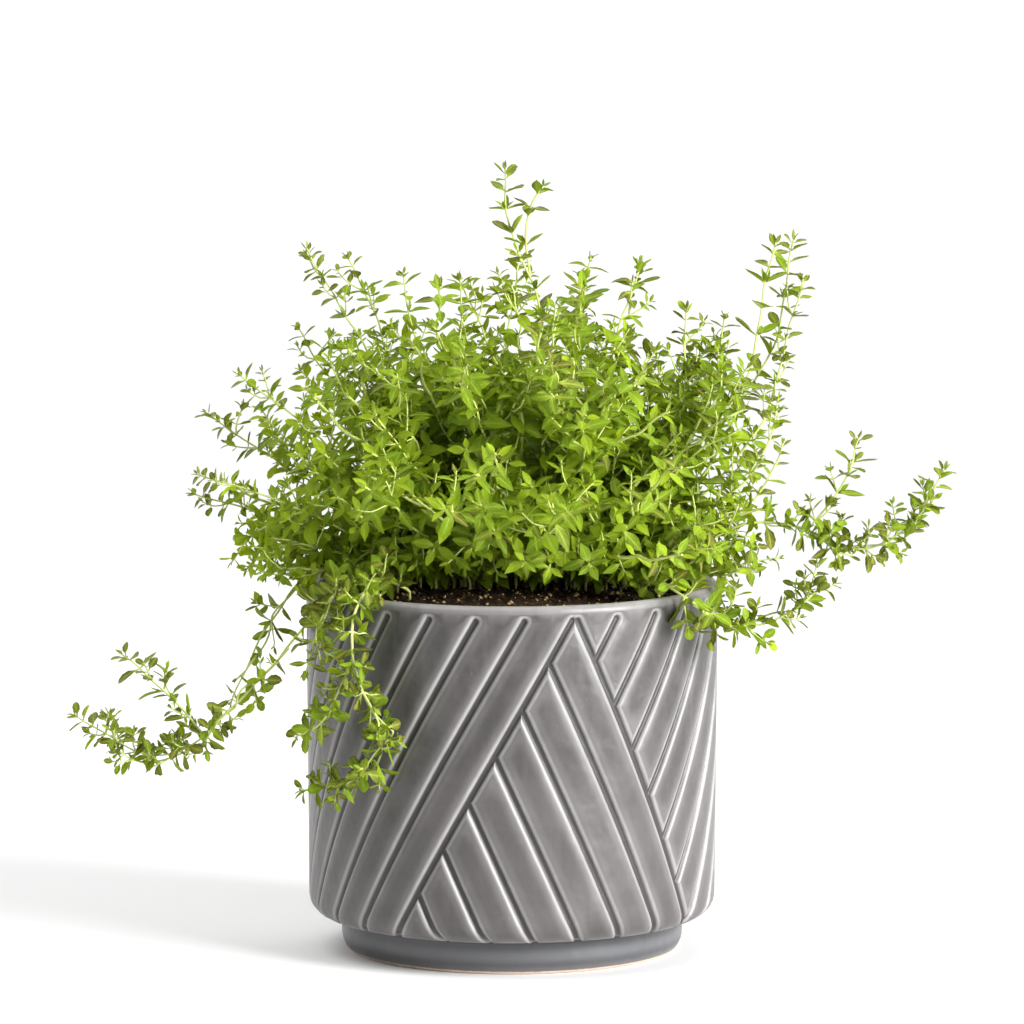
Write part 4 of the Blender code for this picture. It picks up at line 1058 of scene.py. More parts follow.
class Building(Recipe):
    """A Geometry Nodes tree with named inputs, put on an object and turned into a plain mesh."""

    def __init__(self, name, inputs):
        super().__init__(bpy.data.node_groups.new(name, "GeometryNodeTree"))
        self.tree.interface.new_socket("Geometry", in_out="OUTPUT", socket_type="NodeSocketGeometry")
        self.tree.interface.new_socket("Geometry", in_out="INPUT", socket_type="NodeSocketGeometry")
        self.keys = {}
        for label, kind in inputs.items():
            socket = self.tree.interface.new_socket(label, in_out="INPUT", socket_type=kind)
            self.keys[label] = socket.identifier
        self.inputs = self.tree.nodes.new("NodeGroupInput")

    def input(self, name):
        return Socket(self, self.inputs.outputs[name])

    def attribute(self, name, kind="FLOAT"):
        return self.node(
            "GeometryNodeInputNamedAttribute", {"data_type": kind}, {"Name": name}, "Attribute"
        )

    def random(self, low, high, seed, kind="FLOAT"):
        return self.node(
            "FunctionNodeRandomValue", {"data_type": kind}, {"Min": low, "Max": high, "Seed": seed}, "Value"
        )

    def scattered(self, points, shapes, number, rotation, scale):
        """One shape of a collection, picked by number, on each point."""
        shapes = self.node(
            "GeometryNodeCollectionInfo", {},
            {"Collection": shapes, "Separate Children": True, "Reset Children": True},
        )
        return self.node("GeometryNodeInstanceOnPoints", {}, {
            "Points": points, "Instance": shapes, "Pick Instance": True, "Instance Index": number,
            "Rotation": rotation, "Scale": scale,
        })

    def painted(self, geometry, material, selection=True):
        inputs = {"Geometry": geometry, "Selection": selection, "Material": material}
        return self.node("GeometryNodeSetMaterial", {}, inputs)

    def build(self, name, obj, last, values):
        """Ends the tree, runs it on an object and returns the plain mesh as a new object."""
        self.node("NodeGroupOutput", {}, {"Geometry": last})
        modifier = obj.modifiers.new(self.tree.name, "NODES")
        modifier.node_group = self.tree
        for label, value in values.items():
            modifier[self.keys[label]] = value
        depsgraph = bpy.context.evaluated_depsgraph_get()
        mesh = bpy.data.meshes.new_from_object(obj.evaluated_get(depsgraph), depsgraph=depsgraph)
        obj.modifiers.remove(modifier)
        bpy.data.objects.remove(obj, do_unlink=True)
        mesh.name = name
        if not mesh.polygons:
            raise RuntimeError(f"{name} came out empty")
        return add_object(name, mesh)


def crumb_tree():
    """Scatters crumbs over a surface, each turned and sized at random."""
    tree = Building("scattered_crumbs", {
        "Spacing": "NodeSocketFloat", "Size": "NodeSocketFloat", "Seed": "NodeSocketInt",
        "Shapes": "NodeSocketCollection", "Material": "NodeSocketMaterial",
    })
    spacing = tree.input("Spacing")
    seed = tree.input("Seed")
    points = tree.node(
        "GeometryNodeDistributePointsOnFaces", {},
        {"Mesh": tree.input("Geometry"), "Density": 1.0 / (spacing * spacing), "Seed": seed}, "Points",
    )
    points = tree.node(
        "GeometryNodeStoreNamedAttribute", {"data_type": "FLOAT"},
        {"Geometry": points, "Name": "tint", "Value": tree.random(0.0, 1.0, 11)}, "Geometry",
    )
    turn = tree.random((0.0,) * 3, (MOST_TURN,) * 3, 12, "FLOAT_VECTOR")
    rotation = tree.node("FunctionNodeEulerToRotation", {}, {"Euler": turn})
    small = tree.random(0.0, 1.0, 13)
    size = tree.input("Size") * (0.35 + small * small * 1.25)
    number = tree.random(0, CRUMB_KINDS - 1, 14, "INT")
    crumbs = tree.scattered(points, tree.input("Shapes"), number, rotation, size)
    crumbs = tree.node("GeometryNodeRealizeInstances", {}, {"Geometry": crumbs})
    return tree, tree.painted(crumbs, tree.input("Material"))


def make_crumbs(settings):
    points, faces = soil_top(CRUMB_RINGS, CRUMB_SECTORS, SOIL_RADIUS - CRUMB_MARGIN)
    surface = add_body("crumb_surface", points, faces)
    for polygon in surface.data.polygons:
        if polygon.normal.z < 0:
            polygon.flip()
    tree, last = crumb_tree()
    crumbs = tree.build("soil_crumbs", surface, last, {
        "Spacing": settings.crumb_spacing, "Size": settings.crumb_size, "Seed": CRUMB_SEED,
        "Shapes": crumb_shapes(), "Material": crumb_material(settings),
    })
    settle_piece(crumbs, None, "soil")


# Thyme: the curves that its stems follow


def smooth_curve(points, step=CURVE_STEP):
    """Points close together on a centripetal Catmull-Rom curve through the given points."""
    rows = [np.array(point, float) for point in points]
    rows = [2 * rows[0] - rows[1], *rows, 2 * rows[-1] - rows[-2]]
    curve = []
    for four in zip(rows, rows[1:], rows[2:], rows[3:]):
        a, b, c, d = four
        knots = [0.0]
        for start, end in zip(four, four[1:]):
            knots.append(knots[-1] + math.sqrt(np.linalg.norm(end - start)))
        ta, tb, tc, td = knots
        count = max(2, int(np.linalg.norm(c - b) / step))
        for i in range(count):
            t = tb + (tc - tb) * i / count
            ab = a + (b - a) * (t - ta) / (tb - ta)
            bc = b + (c - b) * (t - tb) / (tc - tb)
            cd = c + (d - c) * (t - tc) / (td - tc)
            first = ab + (bc - ab) * (t - ta) / (tc - ta)
            second = bc + (cd - bc) * (t - tb) / (td - tb)
            curve.append(first + (second - first) * (t - tb) / (tc - tb))
    curve.append(rows[-2])
    return np.array(curve)


def even_samples(curve, step):
    """The curve at equal lengths, with both ends kept."""
    lengths = np.concatenate([[0.0], np.cumsum(np.linalg.norm(np.diff(curve, axis=0), axis=1))])
    count = max(3, round(lengths[-1] / step) + 1)
    marks = np.linspace(0.0, lengths[-1], count)
    return np.stack([np.interp(marks, lengths, curve[:, axis]) for axis in range(3)], axis=1)


class Shoot:
    """One stem or side shoot: the points along it, and where it leaves its parent."""

    def __init__(self, points, parent=None, leaving=None):
        self.samples = even_samples(smooth_curve(points), SAMPLE_STEP)
        self.parent = parent
        self.leaving = leaving
        self.fixed = 2 if parent is None else 1
        if parent is None:
            self.samples[0] = points[0]
            self.samples[1] = points[1]


class Stem:
    """A leafy stem that stands in the soil, with its side shoots."""

    def __init__(self, name, base, route):
        self.name = name
        self.base = base
        top = soil_height(*base)
        self.shoots = [Shoot([(*base, top), (*base, top + UPRIGHT_FOOT), *route])]

    def add_shoot(self, points):
        main = self.shoots[0].samples
        leaving = int(np.argmin(np.linalg.norm(main - np.array(points[0], float), axis=1)))
        start = tuple(main[leaving])
        self.shoots.append(Shoot([start, *points[1:]], 0, leaving))


def placed_stems():
    stems = []
    for name, (base, *route) in PLACED_STEMS.items():
        stem = Stem(name, base, route)
        for points in PLACED_SHOOTS.get(name, []):
            stem.add_shoot(points)
        stems.append(stem)
    return stems


def dome_point(azimuth, climb, reach=1.0):
    """A point on the bush's dome; its top is flatter and its sides fuller than a ball's."""
    across = math.cos(climb) ** 0.75 * reach
    up = math.sin(climb) ** 0.8 * reach
    return (
        DOME[0] * across * math.cos(azimuth),
        DOME[1] * across * math.sin(azimuth),
        DOME_BASE_HEIGHT + DOME[2] * up,
    )


def fill_tips(draw):
    """Tips of the filling stems, in rings over the front and the back of the dome."""
    tips = []
    for climb, count in FILL_RINGS:
        half = count // 2
        for side in (-1, 1):
            for i in range(half):
                spread = FILL_HALF_ARC * (2 * (i + 0.5) / half - 1)
                azimuth = math.radians(side * 90 + spread + draw.uniform(-4, 4))
                reach = draw.uniform(0.95, 1.02)
                tips.append(dome_point(azimuth, math.radians(climb + draw.uniform(-3, 3)), reach))
    return tips


def free_bases(taken, count):
    """Places in the soil on a sunflower spiral, away from those taken and from the open front."""
    bases = []
    index = 0
    while len(bases) < count:
        radius = BASE_SPIRAL_STEP * math.sqrt(index + 0.5)
        angle = index * GOLDEN_TURN
        base = (radius * math.cos(angle), radius * math.sin(angle) + BASE_SHIFT_BACK)
        if base[1] > OPEN_FRONT and all(math.dist(base, other) > BASE_SPACING for other in taken):
            bases.append(base)
        index += 1
    return bases


def bowed_route(base, tip, sway):
    """From the upright foot of a stem out to its tip, steeper at first and swayed to one side."""
    low = soil_height(*base) + UPRIGHT_FOOT
    route = []
    for share in (0.3, 0.65, 1.0):
        across = share**1.25
        up = share**0.8
        x = base[0] + (tip[0] - base[0]) * across + sway * math.sin(math.pi * share)
        y = base[1] + (tip[1] - base[1]) * across
        route.append((x, y, low + (tip[2] - low) * up))
    return route


def filling_stems(taken, draw):
    tips = fill_tips(draw)
    bases = free_bases(taken, len(tips))
    stems = []
    counts = {"front": 0, "back": 0}
    for tip in sorted(tips, key=lambda point: (-math.hypot(point[0], point[1]), point[0])):
        base = min(bases, key=lambda place: math.dist(place, (tip[0] * 0.45, tip[1] * 0.45)))
        bases.remove(base)
        side = "front" if tip[1] < 0 else "back"
        counts[side] += 1
        route = bowed_route(base, tip, draw.uniform(-4.0, 4.0))
        stem = Stem(f"stem_{side}_{counts[side]:02d}", base, route)
        if math.hypot(tip[0], tip[1]) > CROWN_RADIUS:
            stem.add_shoot(side_shoot_points(stem, draw))
        stems.append(stem)
    return stems


def side_shoot_points(stem, draw):
    """A short shoot that leaves the stem part of the way up and curves out of it and upwards."""
    main = stem.shoots[0].samples
    leaving = int(len(main) * draw.uniform(0.4, 0.6))
    start = main[leaving]
    outward = np.array([start[0], start[1], 0.0])
    outward /= max(1.0, np.linalg.norm(outward))
    turned = np.array([-outward[1], outward[0], 0.0]) * draw.choice((-1, 1))
    lean = turned + 0.35 * outward
    reach = draw.uniform(20.0, 26.0)
    bend = start + lean * reach * 0.5 + np.array([0, 0, reach * 0.42])
    end = start + lean * reach * 0.8 + np.array([0, 0, reach * 0.95])
    return [tuple(start), tuple(bend), tuple(end)]


def push_from_pot(point, clearance):
    """Moves a point of a stem off the lip, the wall and the soil."""
    x, y, z = point
    radius = math.hypot(x, y)
    lip_radius = POT_RADIUS - WALL_THICKNESS / 2
    lip_height = POT_HEIGHT - WALL_THICKNESS / 2
    wanted = WALL_THICKNESS / 2 + clearance
    across, up = radius - lip_radius, z - lip_height
    near = math.hypot(across, up)
    if near < wanted:
        across, up = across * wanted / near, up * wanted / near
    elif up < 0 and 0 <= across < wanted:
        across = wanted
    elif across < 0 and z < soil_height(x, y) + clearance:
        up = soil_height(x, y) + clearance - lip_height
    scale = (lip_radius + across) / max(radius, 0.001)
    return np.array([x * scale, y * scale, lip_height + up])


def settle(stems):
    """Bends stems clear of one another, of the planter and of the soil."""
    shoots = [(number, shoot) for number, stem in enumerate(stems) for shoot in stem.shoots]
    for _ in range(SETTLE_ROUNDS):
        points = np.concatenate([shoot.samples for _, shoot in shoots])
        owner = np.concatenate([np.full(len(shoot.samples), number) for number, shoot in shoots])
        held = np.concatenate([np.arange(len(shoot.samples)) < shoot.fixed for _, shoot in shoots])
        gaps = points[:, None, :] - points[None, :, :]
        distance = np.linalg.norm(gaps, axis=2)
        wanted = np.where(owner[:, None] != owner[None, :], STEM_CLEARANCE, 0.0)
        close = distance < wanted
        weight = np.where(close, (wanted - distance) / np.maximum(distance, 0.05), 0.0)
        shift = PUSH * (gaps * weight[:, :, None]).sum(axis=1)
        size = np.linalg.norm(shift, axis=1, keepdims=True)
        shift *= np.minimum(1.0, LONGEST_PUSH / np.maximum(size, 1e-6))
        points = points + np.where(held[:, None], 0.0, shift)
        first = 0
        for number, shoot in shoots:
            last = first + len(shoot.samples)
            samples = points[first:last].copy()
            middle = 0.5 * (samples[:-2] + samples[2:])
            start = shoot.fixed
            samples[start:-1] += SMOOTHING * (middle[start - 1:] - samples[start:-1])
            for i in range(start, len(samples)):
                samples[i] = push_from_pot(samples[i], POT_CLEARANCE)
            if shoot.parent is not None:
                samples[0] = stems[number].shoots[0].samples[shoot.leaving]
            shoot.samples = samples
            first = last


def frame_stems():
    """The stems that stand where the frame's stems stand."""
    draw = random.Random(SEED)
    stems = placed_stems()
    stems += filling_stems([stem.base for stem in stems], draw)
    settle(stems)
    return stems


def inner_stems():
    """Finer stems between them, as rows of piece, habit and stem."""
    draw = random.Random(SEED + 1)
    rows = []

    def add(piece, habit, base, route):
        stem = Stem(habit, base, route)
        shoot = stem.shoots[0]
        for i in range(2, len(shoot.samples)):
            shoot.samples[i] = push_from_pot(shoot.samples[i], POT_CLEARANCE)
        rows.append((piece, habit, stem))

    for piece, habit, count, azimuths, climbs, reaches in INNER_STEMS:
        for _ in range(count):
            azimuth = math.radians(draw.uniform(*azimuths))
            climb = math.radians(draw.uniform(*climbs))
            tip = dome_point(azimuth, climb, draw.uniform(*reaches))
            spread = draw.uniform(0.25, 0.55)
            front = max(draw.uniform(-9, 4), tip[1] * spread + draw.uniform(-6, 6))
            base = (tip[0] * spread + draw.uniform(-6, 6), front)
            add(piece, habit, base, bowed_route(base, tip, draw.uniform(-8.0, 8.0)))
    for number in range(SKIRT_STEMS):
        share = (number + draw.uniform(0.2, 0.8)) / SKIRT_STEMS
        x = SKIRT_SPREAD[0] + (SKIRT_SPREAD[1] - SKIRT_SPREAD[0]) * share
        inner = number % 2
        base = (x * 0.6 + draw.uniform(-5, 5), draw.uniform(-8, 6))
        top = (x * 0.85 + draw.uniform(-4, 4), draw.uniform(-34, -23), draw.uniform(129, 145) - 7 * inner)
        depth = math.sqrt(max(0.0, SKIRT_RADIUS**2 - x * x))
        y = -draw.uniform(0.74, 0.95) * depth * (1 - 0.25 * inner)
        tip = (x, y, draw.uniform(125.0, 133.0) - 3 * inner)
        add("thyme_skirt", "skirt", base, [top, tip])
    for number in range(BACK_SKIRT_STEMS):
        share = (number + draw.uniform(0.1, 0.9)) / BACK_SKIRT_STEMS
        first, last = BACK_SKIRT_SPREAD
        azimuth = math.radians(first + (last - first) * share)
        way = np.array([math.cos(azimuth), math.sin(azimuth)])
        base = way * draw.uniform(10, 24)
        top = (*(way * draw.uniform(26, 36)), draw.uniform(131, 146))
        tip = (*(way * draw.uniform(46, 58)), draw.uniform(128, 147))
        add("thyme_back_skirt", "skirt", tuple(base), [top, tip])
    return rows


# Thyme: leaves and twigs


def unit(vector):
    return vector / max(1e-9, np.linalg.norm(vector))


def in_planter(point):
    """Whether a point lies in the planter's wall or in the soil, or barely off them."""
    radius = math.hypot(point[0], point[1])
    if radius > POT_RADIUS + PLANTER_MARGIN or point[2] > POT_HEIGHT + SOIL_MARGIN:
        return False
    if radius > INNER_RADIUS - PLANTER_MARGIN:
        return True
    return point[2] < soil_height(point[0], point[1]) + SOIL_MARGIN


def dome_share(point):
    """How far out in the bush a point lies: 0 at its heart and 1 on its dome."""
    x, y, z = point
    return math.sqrt((x / DOME[0]) ** 2 + (y / DOME[1]) ** 2 + ((z - DOME_BASE_HEIGHT) / DOME[2]) ** 2)


class Greenery:
    """What one piece of thyme grows from: stem lines and leaf places, with a value of each kind."""

    KINDS = {
        "stalk": "FLOAT", "thickness": "FLOAT", "bark": "FLOAT", "heading": "FLOAT_VECTOR",
        "facing": "FLOAT_VECTOR", "size": "FLOAT", "tone": "FLOAT", "kind": "INT",
    }

    def __init__(self):
        self.points = []
        self.edges = []
        self.values = {key: [] for key in self.KINDS}
        self.leaves = 0

    def add(self, point, **values):
        self.points.append(tuple(float(value) * MM for value in point))
        for key, kind in self.KINDS.items():
            self.values[key].append(values.get(key, (0.0, 0.0, 0.0) if kind == "FLOAT_VECTOR" else 0))

    def add_line(self, rows, widths, barks):
        first = len(self.points)
        for row, width, bark in zip(rows, widths, barks):
            tone = clipped((dome_share(row) - 0.78) / 0.3)
            self.add(row, stalk=1.0, thickness=0.5 * width * MM, bark=bark, tone=tone)
        self.edges.extend((first + i, first + i + 1) for i in range(len(rows) - 1))

    def add_leaf(self, root, heading, facing, size, tone, kind):
        middle = root + heading * size * 0.5
        if in_planter(middle) or in_planter(root + heading * size):
            outward = unit(np.array([root[0], root[1], 0.0]))
            inward = min(0.0, float(heading @ outward))
            heading = unit(heading - inward * outward + 0.3 * outward)
            if in_planter(root + heading * size * 0.5) or in_planter(root + heading * size):
                return
        facing = unit(facing - heading * float(facing @ heading))
        self.leaves += 1
        self.add(root, heading=tuple(heading), facing=tuple(facing), size=size * MM, tone=tone, kind=kind)

    def object(self, name):
        mesh = bpy.data.meshes.new(name)
        mesh.from_pydata(self.points, self.edges, [])
        for key, kind in self.KINDS.items():
            layer = mesh.attributes.new(key, kind, "POINT")
            flat = np.array(self.values[key], np.int32 if kind == "INT" else np.float32).ravel()
            layer.data.foreach_set("vector" if kind == "FLOAT_VECTOR" else "value", flat)
        return add_object(name, mesh)


class Line:
    """A smooth line with lengths along it."""

    def __init__(self, rows):
        self.rows = np.array(rows)
        steps = np.linalg.norm(np.diff(self.rows, axis=0), axis=1)
        self.lengths = np.concatenate([[0.0], np.cumsum(steps)])
        self.total = float(self.lengths[-1])

    def at(self, length):
        return np.array([np.interp(length, self.lengths, self.rows[:, axis]) for axis in range(3)])

    def way(self, length):
        return unit(self.at(min(self.total, length + 0.7)) - self.at(max(0.0, length - 0.7)))

    def even(self, step):
        return even_samples(self.rows, step)


def turned(vector, axis, angle):
    """A vector turned about a unit axis."""
    return (
        vector * math.cos(angle) + np.cross(axis, vector) * math.sin(angle)
        + axis * float(axis @ vector) * (1 - math.cos(angle))
    )


def side_of(along, draw):
    """A direction square to a line."""
    rough = np.array([draw.gauss(0, 1), draw.gauss(0, 1), draw.gauss(0, 1)])
    return unit(rough - along * float(along @ rough))


class Grower:
    """Grows leaves and twigs along lines, from the settings and one random draw."""

    def __init__(self, green, settings, seed):
        self.green = green
        self.settings = settings
        self.draw = random.Random(seed)

    def follow(self, habit):
        """Takes on one of the HABITS."""
        leaf, spacing, twigs, lengths, axils, waver, stout, self.depth, self.kinds = HABITS[habit]
        self.foot_width = self.settings.stem_thickness / MM * stout
        self.tip_width = self.settings.tip_thickness / MM * stout
        self.leaf_length = self.settings.leaf_length / MM * leaf
        self.spacing = self.settings.pair_spacing / MM * spacing
        self.twigs = self.settings.twigs * twigs
        self.twig_lengths = lengths
        self.axil_leaves = self.settings.axil_leaves * axils
        self.waver = waver
        self.thin_by_pot = habit in ("trailing", "twining")

    def wavered(self, rows):
        """A line that wanders a little to all sides past its first stretch."""
        draw = self.draw
        lengths = Line(rows).lengths
        fade = np.clip((lengths - 6.0) / 20.0, 0.0, 1.0)
        moved = np.array(rows, float)
        for axis, part in ((0, 1.0), (1, 1.0), (2, 0.5)):
            for length, share in ((draw.uniform(34, 52), 0.65), (draw.uniform(15, 24), 0.35)):
                wave = np.sin(2 * math.pi * lengths / length + draw.uniform(0, MOST_TURN))
                moved[:, axis] += self.waver * part * share * fade * wave
        return moved

    def grow(self, line, order, bare, widths):
        """One line with its leaves: order 0 is a stem, 1 a side shoot or twig, 2 a twig's twig."""
        draw = self.draw
        rows = line.even(STEM_LINE_STEP if order == 0 else TWIG_LINE_STEP)
        shares = np.linspace(0.0, 1.0, len(rows))
        self.green.add_line(
            rows, widths[0] + (widths[1] - widths[0]) * shares, [self.bark(row, order) for row in rows]
        )
        side = side_of(line.way(line.total), draw)
        for reach, scale, lean in self.pairs(line.total - bare, order):
            mark = line.total - reach
            point, along = line.at(mark), line.way(mark)
            side = unit(side - along * float(along @ side))
            side = turned(side, along, math.pi / 2 + draw.gauss(0, 0.14))
            near_pot = self.thin_by_pot and THIN_STRETCH[0] < point[0] < THIN_STRETCH[1]
            if near_pot and draw.random() < THINNED:
                continue
            for way in (side, -side):
                self.leaf_with_axil(point, way, along, scale, lean, reach, order)

    def pairs(self, leafy, order):
        """Reach from the tip, size and lean of each pair of leaves."""
        draw = self.draw
        spacing = self.spacing * (1.0 if order == 0 else 0.82)
        rows = [(reach * draw.uniform(0.9, 1.15), scale, lean) for reach, scale, lean in TIP_PAIRS]
        reach = rows[-1][0]
        while reach + spacing < leafy:
            reach += spacing * draw.uniform(0.8, 1.2)
            rows.append((reach, draw.uniform(0.88, 1.12), draw.uniform(1.0, 1.42)))
        return [row for row in rows if row[0] < leafy]

    def bark(self, point, order):
        low = (131.0 - point[2]) / 22.0 if math.hypot(point[0], point[1]) < 45.0 else 0.0
        heart = 0.34 - dome_share(point) * 0.8
        return clipped(max(low, heart)) * (1.0 if order == 0 else 0.4)

    def tone(self, point, scale):
        """How deep a leaf's green is: bright inside the bush, deep on its dome, and painted paler on its left
        as painted light.
        """
        share = dome_share(point)
        base = HEART_TONE + DOME_TONE * clipped((share - 0.72) / 0.4)
        # Painted light: leaves on the bush's left are painted paler, for the light that falls through them
        # there
        base -= LEFT_PAINTED_LIGHT * clipped((-point[0] - 20.0) / 45.0) * (share < 1.05)
        base = max(base, self.depth)
        return clipped(self.draw.gauss(base, TONE_SPREAD) + 0.08 * (scale > 0.9))

    def plumpness(self, point):
        """How large leaves are beside the habit's own: larger in the bush, smaller on its dome."""
        return 1.1 - 0.2 * clipped((dome_share(point) - 0.7) / 0.4)

    def leaf_with_axil(self, point, way, along, scale, lean, reach, order):
        draw = self.draw
        size = self.leaf_length * scale * draw.uniform(0.84, 1.16) * (1.0 if order == 0 else 0.88)
        size *= self.plumpness(point)
        lean = lean + draw.gauss(0, 0.13)
        heading = unit(way * math.sin(lean) + along * math.cos(lean) + np.array([0.0, -0.03, 0.06]))
        facing = unit(along + np.array([0.0, -0.18, 0.55]) + 0.2 * side_of(along, draw))
        kind = draw.choice(SMALL_KINDS if scale < 0.6 else self.kinds)
        start = point + way * 0.25
        self.green.add_leaf(start, heading, facing, size, self.tone(point, scale), kind)
        if reach < 9.0:
            return
        share = dome_share(point)
        if order == 0 and draw.random() < self.twigs or order == 1 and draw.random() < 0.35 * self.twigs:
            self.twig(point, way, along, order, share)
        elif draw.random() < self.axil_leaves:
            for tilt in (-0.75, 0.75):
                small_way = turned(way, along, tilt + draw.gauss(0, 0.15))
                low = draw.uniform(0.35, 0.8)
                small = unit(small_way * math.sin(low) + along * math.cos(low))
                small_size = self.leaf_length * draw.uniform(0.34, 0.6)
                kind = draw.choice(SMALL_KINDS)
                self.green.add_leaf(start, small, facing, small_size, self.tone(point, 0.5) * 0.8, kind)

    def twig(self, point, way, along, order, share):
        """A short leafy twig out of a leaf's axil, which curves towards the light."""
        draw = self.draw
        shortest, longest = self.twig_lengths
        longest *= 1.0 if share < 0.85 else 0.7
        length = draw.uniform(shortest, longest) * (1.0 if order == 0 else 0.6)
        heading = unit(way * draw.uniform(0.7, 1.1) + along * draw.uniform(0.5, 0.9))
        light = unit(np.array([draw.gauss(0, 0.25), draw.gauss(-0.1, 0.25), 1.0]))
        rows = [point]
        for _ in range(TWIG_BENDS):
            heading = unit(heading + 0.26 * light + 0.2 * side_of(heading, draw))
            rows.append(rows[-1] + heading * length / TWIG_BENDS)
        if any(in_planter(row) for row in rows[1:]):
            return
        line = Line(smooth_curve(rows, 0.8))
        width = 0.5 * (self.foot_width + self.tip_width)
        self.grow(line, order + 1, TWIG_BARE, (width * 0.72, self.tip_width * 0.8))


def grow_stem(grower, stem, leafy_foot):
    """One stem with its side shoots; its foot stands in the soil."""
    main = stem.shoots[0]
    below = [(*stem.base, SOIL_EDGE_HEIGHT - HOLE_DEPTH + STEM_END_CLEARANCE)]
    line = Line(np.concatenate([below, grower.wavered(smooth_curve(main.samples))]))
    buried = float(line.lengths[1])
    bare = buried + leafy_foot
    grower.grow(line, 0, bare, (grower.foot_width, grower.tip_width))
    for shoot in stem.shoots[1:]:
        side_line = Line(grower.wavered(smooth_curve(shoot.samples)))
        width = 0.5 * (grower.foot_width + grower.tip_width)
        grower.grow(side_line, 0, SHOOT_BARE, (width, grower.tip_width))


def grow_strand(grower, stem):
    """A finer strand that winds along a trailing stem, off its middle and round it."""
    rows = smooth_curve(stem.shoots[0].samples)
    strand = grower.wavered(rows[int(len(rows) * 0.4):int(len(rows) * 0.92)])
    line = Line([push_from_pot(row, POT_CLEARANCE) for row in strand])
    grower.grow(line, 0, SHOOT_BARE, (grower.tip_width * 1.3, grower.tip_width))


def leaf_blade(number, outline, fold, bend, wide):
    """A blade one unit long: folded along its midrib, bent, keeled underneath, with a crisp rim."""
    stations = LEAF_OUTLINES[outline]
    points, values = [], {"across": [], "along": [], "under": []}

    def add(across, along, half, lift, under):
        turn = bend * along
        reach = math.sin(turn) / bend if abs(bend) > 1e-3 else along
        drop = (1 - math.cos(turn)) / bend if abs(bend) > 1e-3 else 0.0
        points.append(Vector((across * half, reach, lift - drop)))
        for key, value in (("across", across), ("along", along), ("under", under)):
            values[key].append(value)

    for along, width in stations:
        half = 0.5 * width * wide
        rim = 0.7 * fold * half
        for across, lift, under in ((-1.0, rim, 0.0), (0.0, 0.0, 0.0), (1.0, rim, 0.0)):
            add(across, along, half, lift, under)
        add(0.0, along, half, -0.05 if half > 0.05 else -0.04, 1.0)
    add(0.0, 1.0, 0.0, 0.0, 0.3)
    tip = len(points) - 1
    faces = [(0, 1, 2, 3)]
    for low in range(0, tip, 4):
        for i in range(4):
            j = (i + 1) % 4
            ends = (low + 4 + j, low + 4 + i) if low + 4 < tip else (tip,)
            faces.append((low + i, low + j, *ends))
    mesh = bpy.data.meshes.new(f"leaf_blade_{number:02d}")
    shape = smooth_shape(points, faces, values)
    bmesh.ops.recalc_face_normals(shape, faces=shape.faces)
    rims = set(range(0, tip, 4)) | set(range(2, tip, 4)) | {tip}
    shape.verts.index_update()
    for edge in shape.edges:
        one, other = sorted(corner.index for corner in edge.verts)
        if one in rims and other in rims and (other - one == 4 or other == tip):
            edge.smooth = False
    shape.to_mesh(mesh)
    shape.free()
    return bpy.data.objects.new(mesh.name, mesh)


def leaf_shapes():
    shapes = bpy.data.collections.new("leaf_shapes")
    for number, form in enumerate(LEAF_KINDS):
        shapes.objects.link(leaf_blade(number, *form))
    return shapes


def thyme_tree():
    """Stems swept along their lines, and a leaf at each leaf place."""
    tree = Building("leafy_stems", {
        "Stem Sides": "NodeSocketInt", "Leaf Roll": "NodeSocketFloat", "Seed": "NodeSocketInt",
        "Leaves": "NodeSocketCollection", "Leaf Material": "NodeSocketMaterial",
        "Stem Material": "NodeSocketMaterial",
    })
    is_stalk = tree.attribute("stalk").math("GREATER_THAN", 0.5)
    parts = {"Geometry": tree.input("Geometry"), "Selection": is_stalk}
    stalks = tree.node("GeometryNodeSeparateGeometry", {"domain": "POINT"}, parts, "Selection")
    places = tree.node("GeometryNodeSeparateGeometry", {"domain": "POINT"}, parts, "Inverted")
    lines = tree.node("GeometryNodeMeshToCurve", {}, {"Mesh": stalks})
    profile = tree.node(
        "GeometryNodeCurvePrimitiveCircle", {}, {"Resolution": tree.input("Stem Sides"), "Radius": 1.0}
    )
    tubes = tree.node(
        "GeometryNodeCurveToMesh", {},
        {"Curve": lines, "Profile Curve": profile, "Scale": tree.attribute("thickness"), "Fill Caps": True},
    )
    points = tree.node("GeometryNodeMeshToPoints", {}, {"Mesh": places})
    heading = tree.attribute("heading", "FLOAT_VECTOR")
    facing = tree.attribute("facing", "FLOAT_VECTOR")
    rotation = tree.node(
        "FunctionNodeAxesToRotation", {"primary_axis": "Y", "secondary_axis": "Z"},
        {"Primary Axis": heading, "Secondary Axis": facing},
    )
    roll = tree.input("Leaf Roll")
    angle = tree.random(0.0 - roll, roll, tree.input("Seed"))
    rolled = tree.node("FunctionNodeAxisAngleToRotation", {}, {"Axis": (0.0, 1.0, 0.0), "Angle": angle})
    rotation = tree.node(
        "FunctionNodeRotateRotation", {"rotation_space": "LOCAL"}, {"Rotation": rotation, "Rotate By": rolled}
    )
    kind = tree.attribute("kind", "INT")
    leaves = tree.scattered(points, tree.input("Leaves"), kind, rotation, tree.attribute("size"))
    joined = tree.tree.nodes.new("GeometryNodeJoinGeometry")
    for part in (leaves, tubes):
        tree.tree.links.new(part.output, joined.inputs[0])
    whole = tree.node("GeometryNodeRealizeInstances", {}, {"Geometry": Socket(tree, joined.outputs[0])})
    whole = tree.node("GeometryNodeSetShadeSmooth", {}, {"Geometry": whole, "Shade Smooth": True})
    whole = tree.painted(whole, tree.input("Leaf Material"))
    return tree, tree.painted(whole, tree.input("Stem Material"), is_stalk)


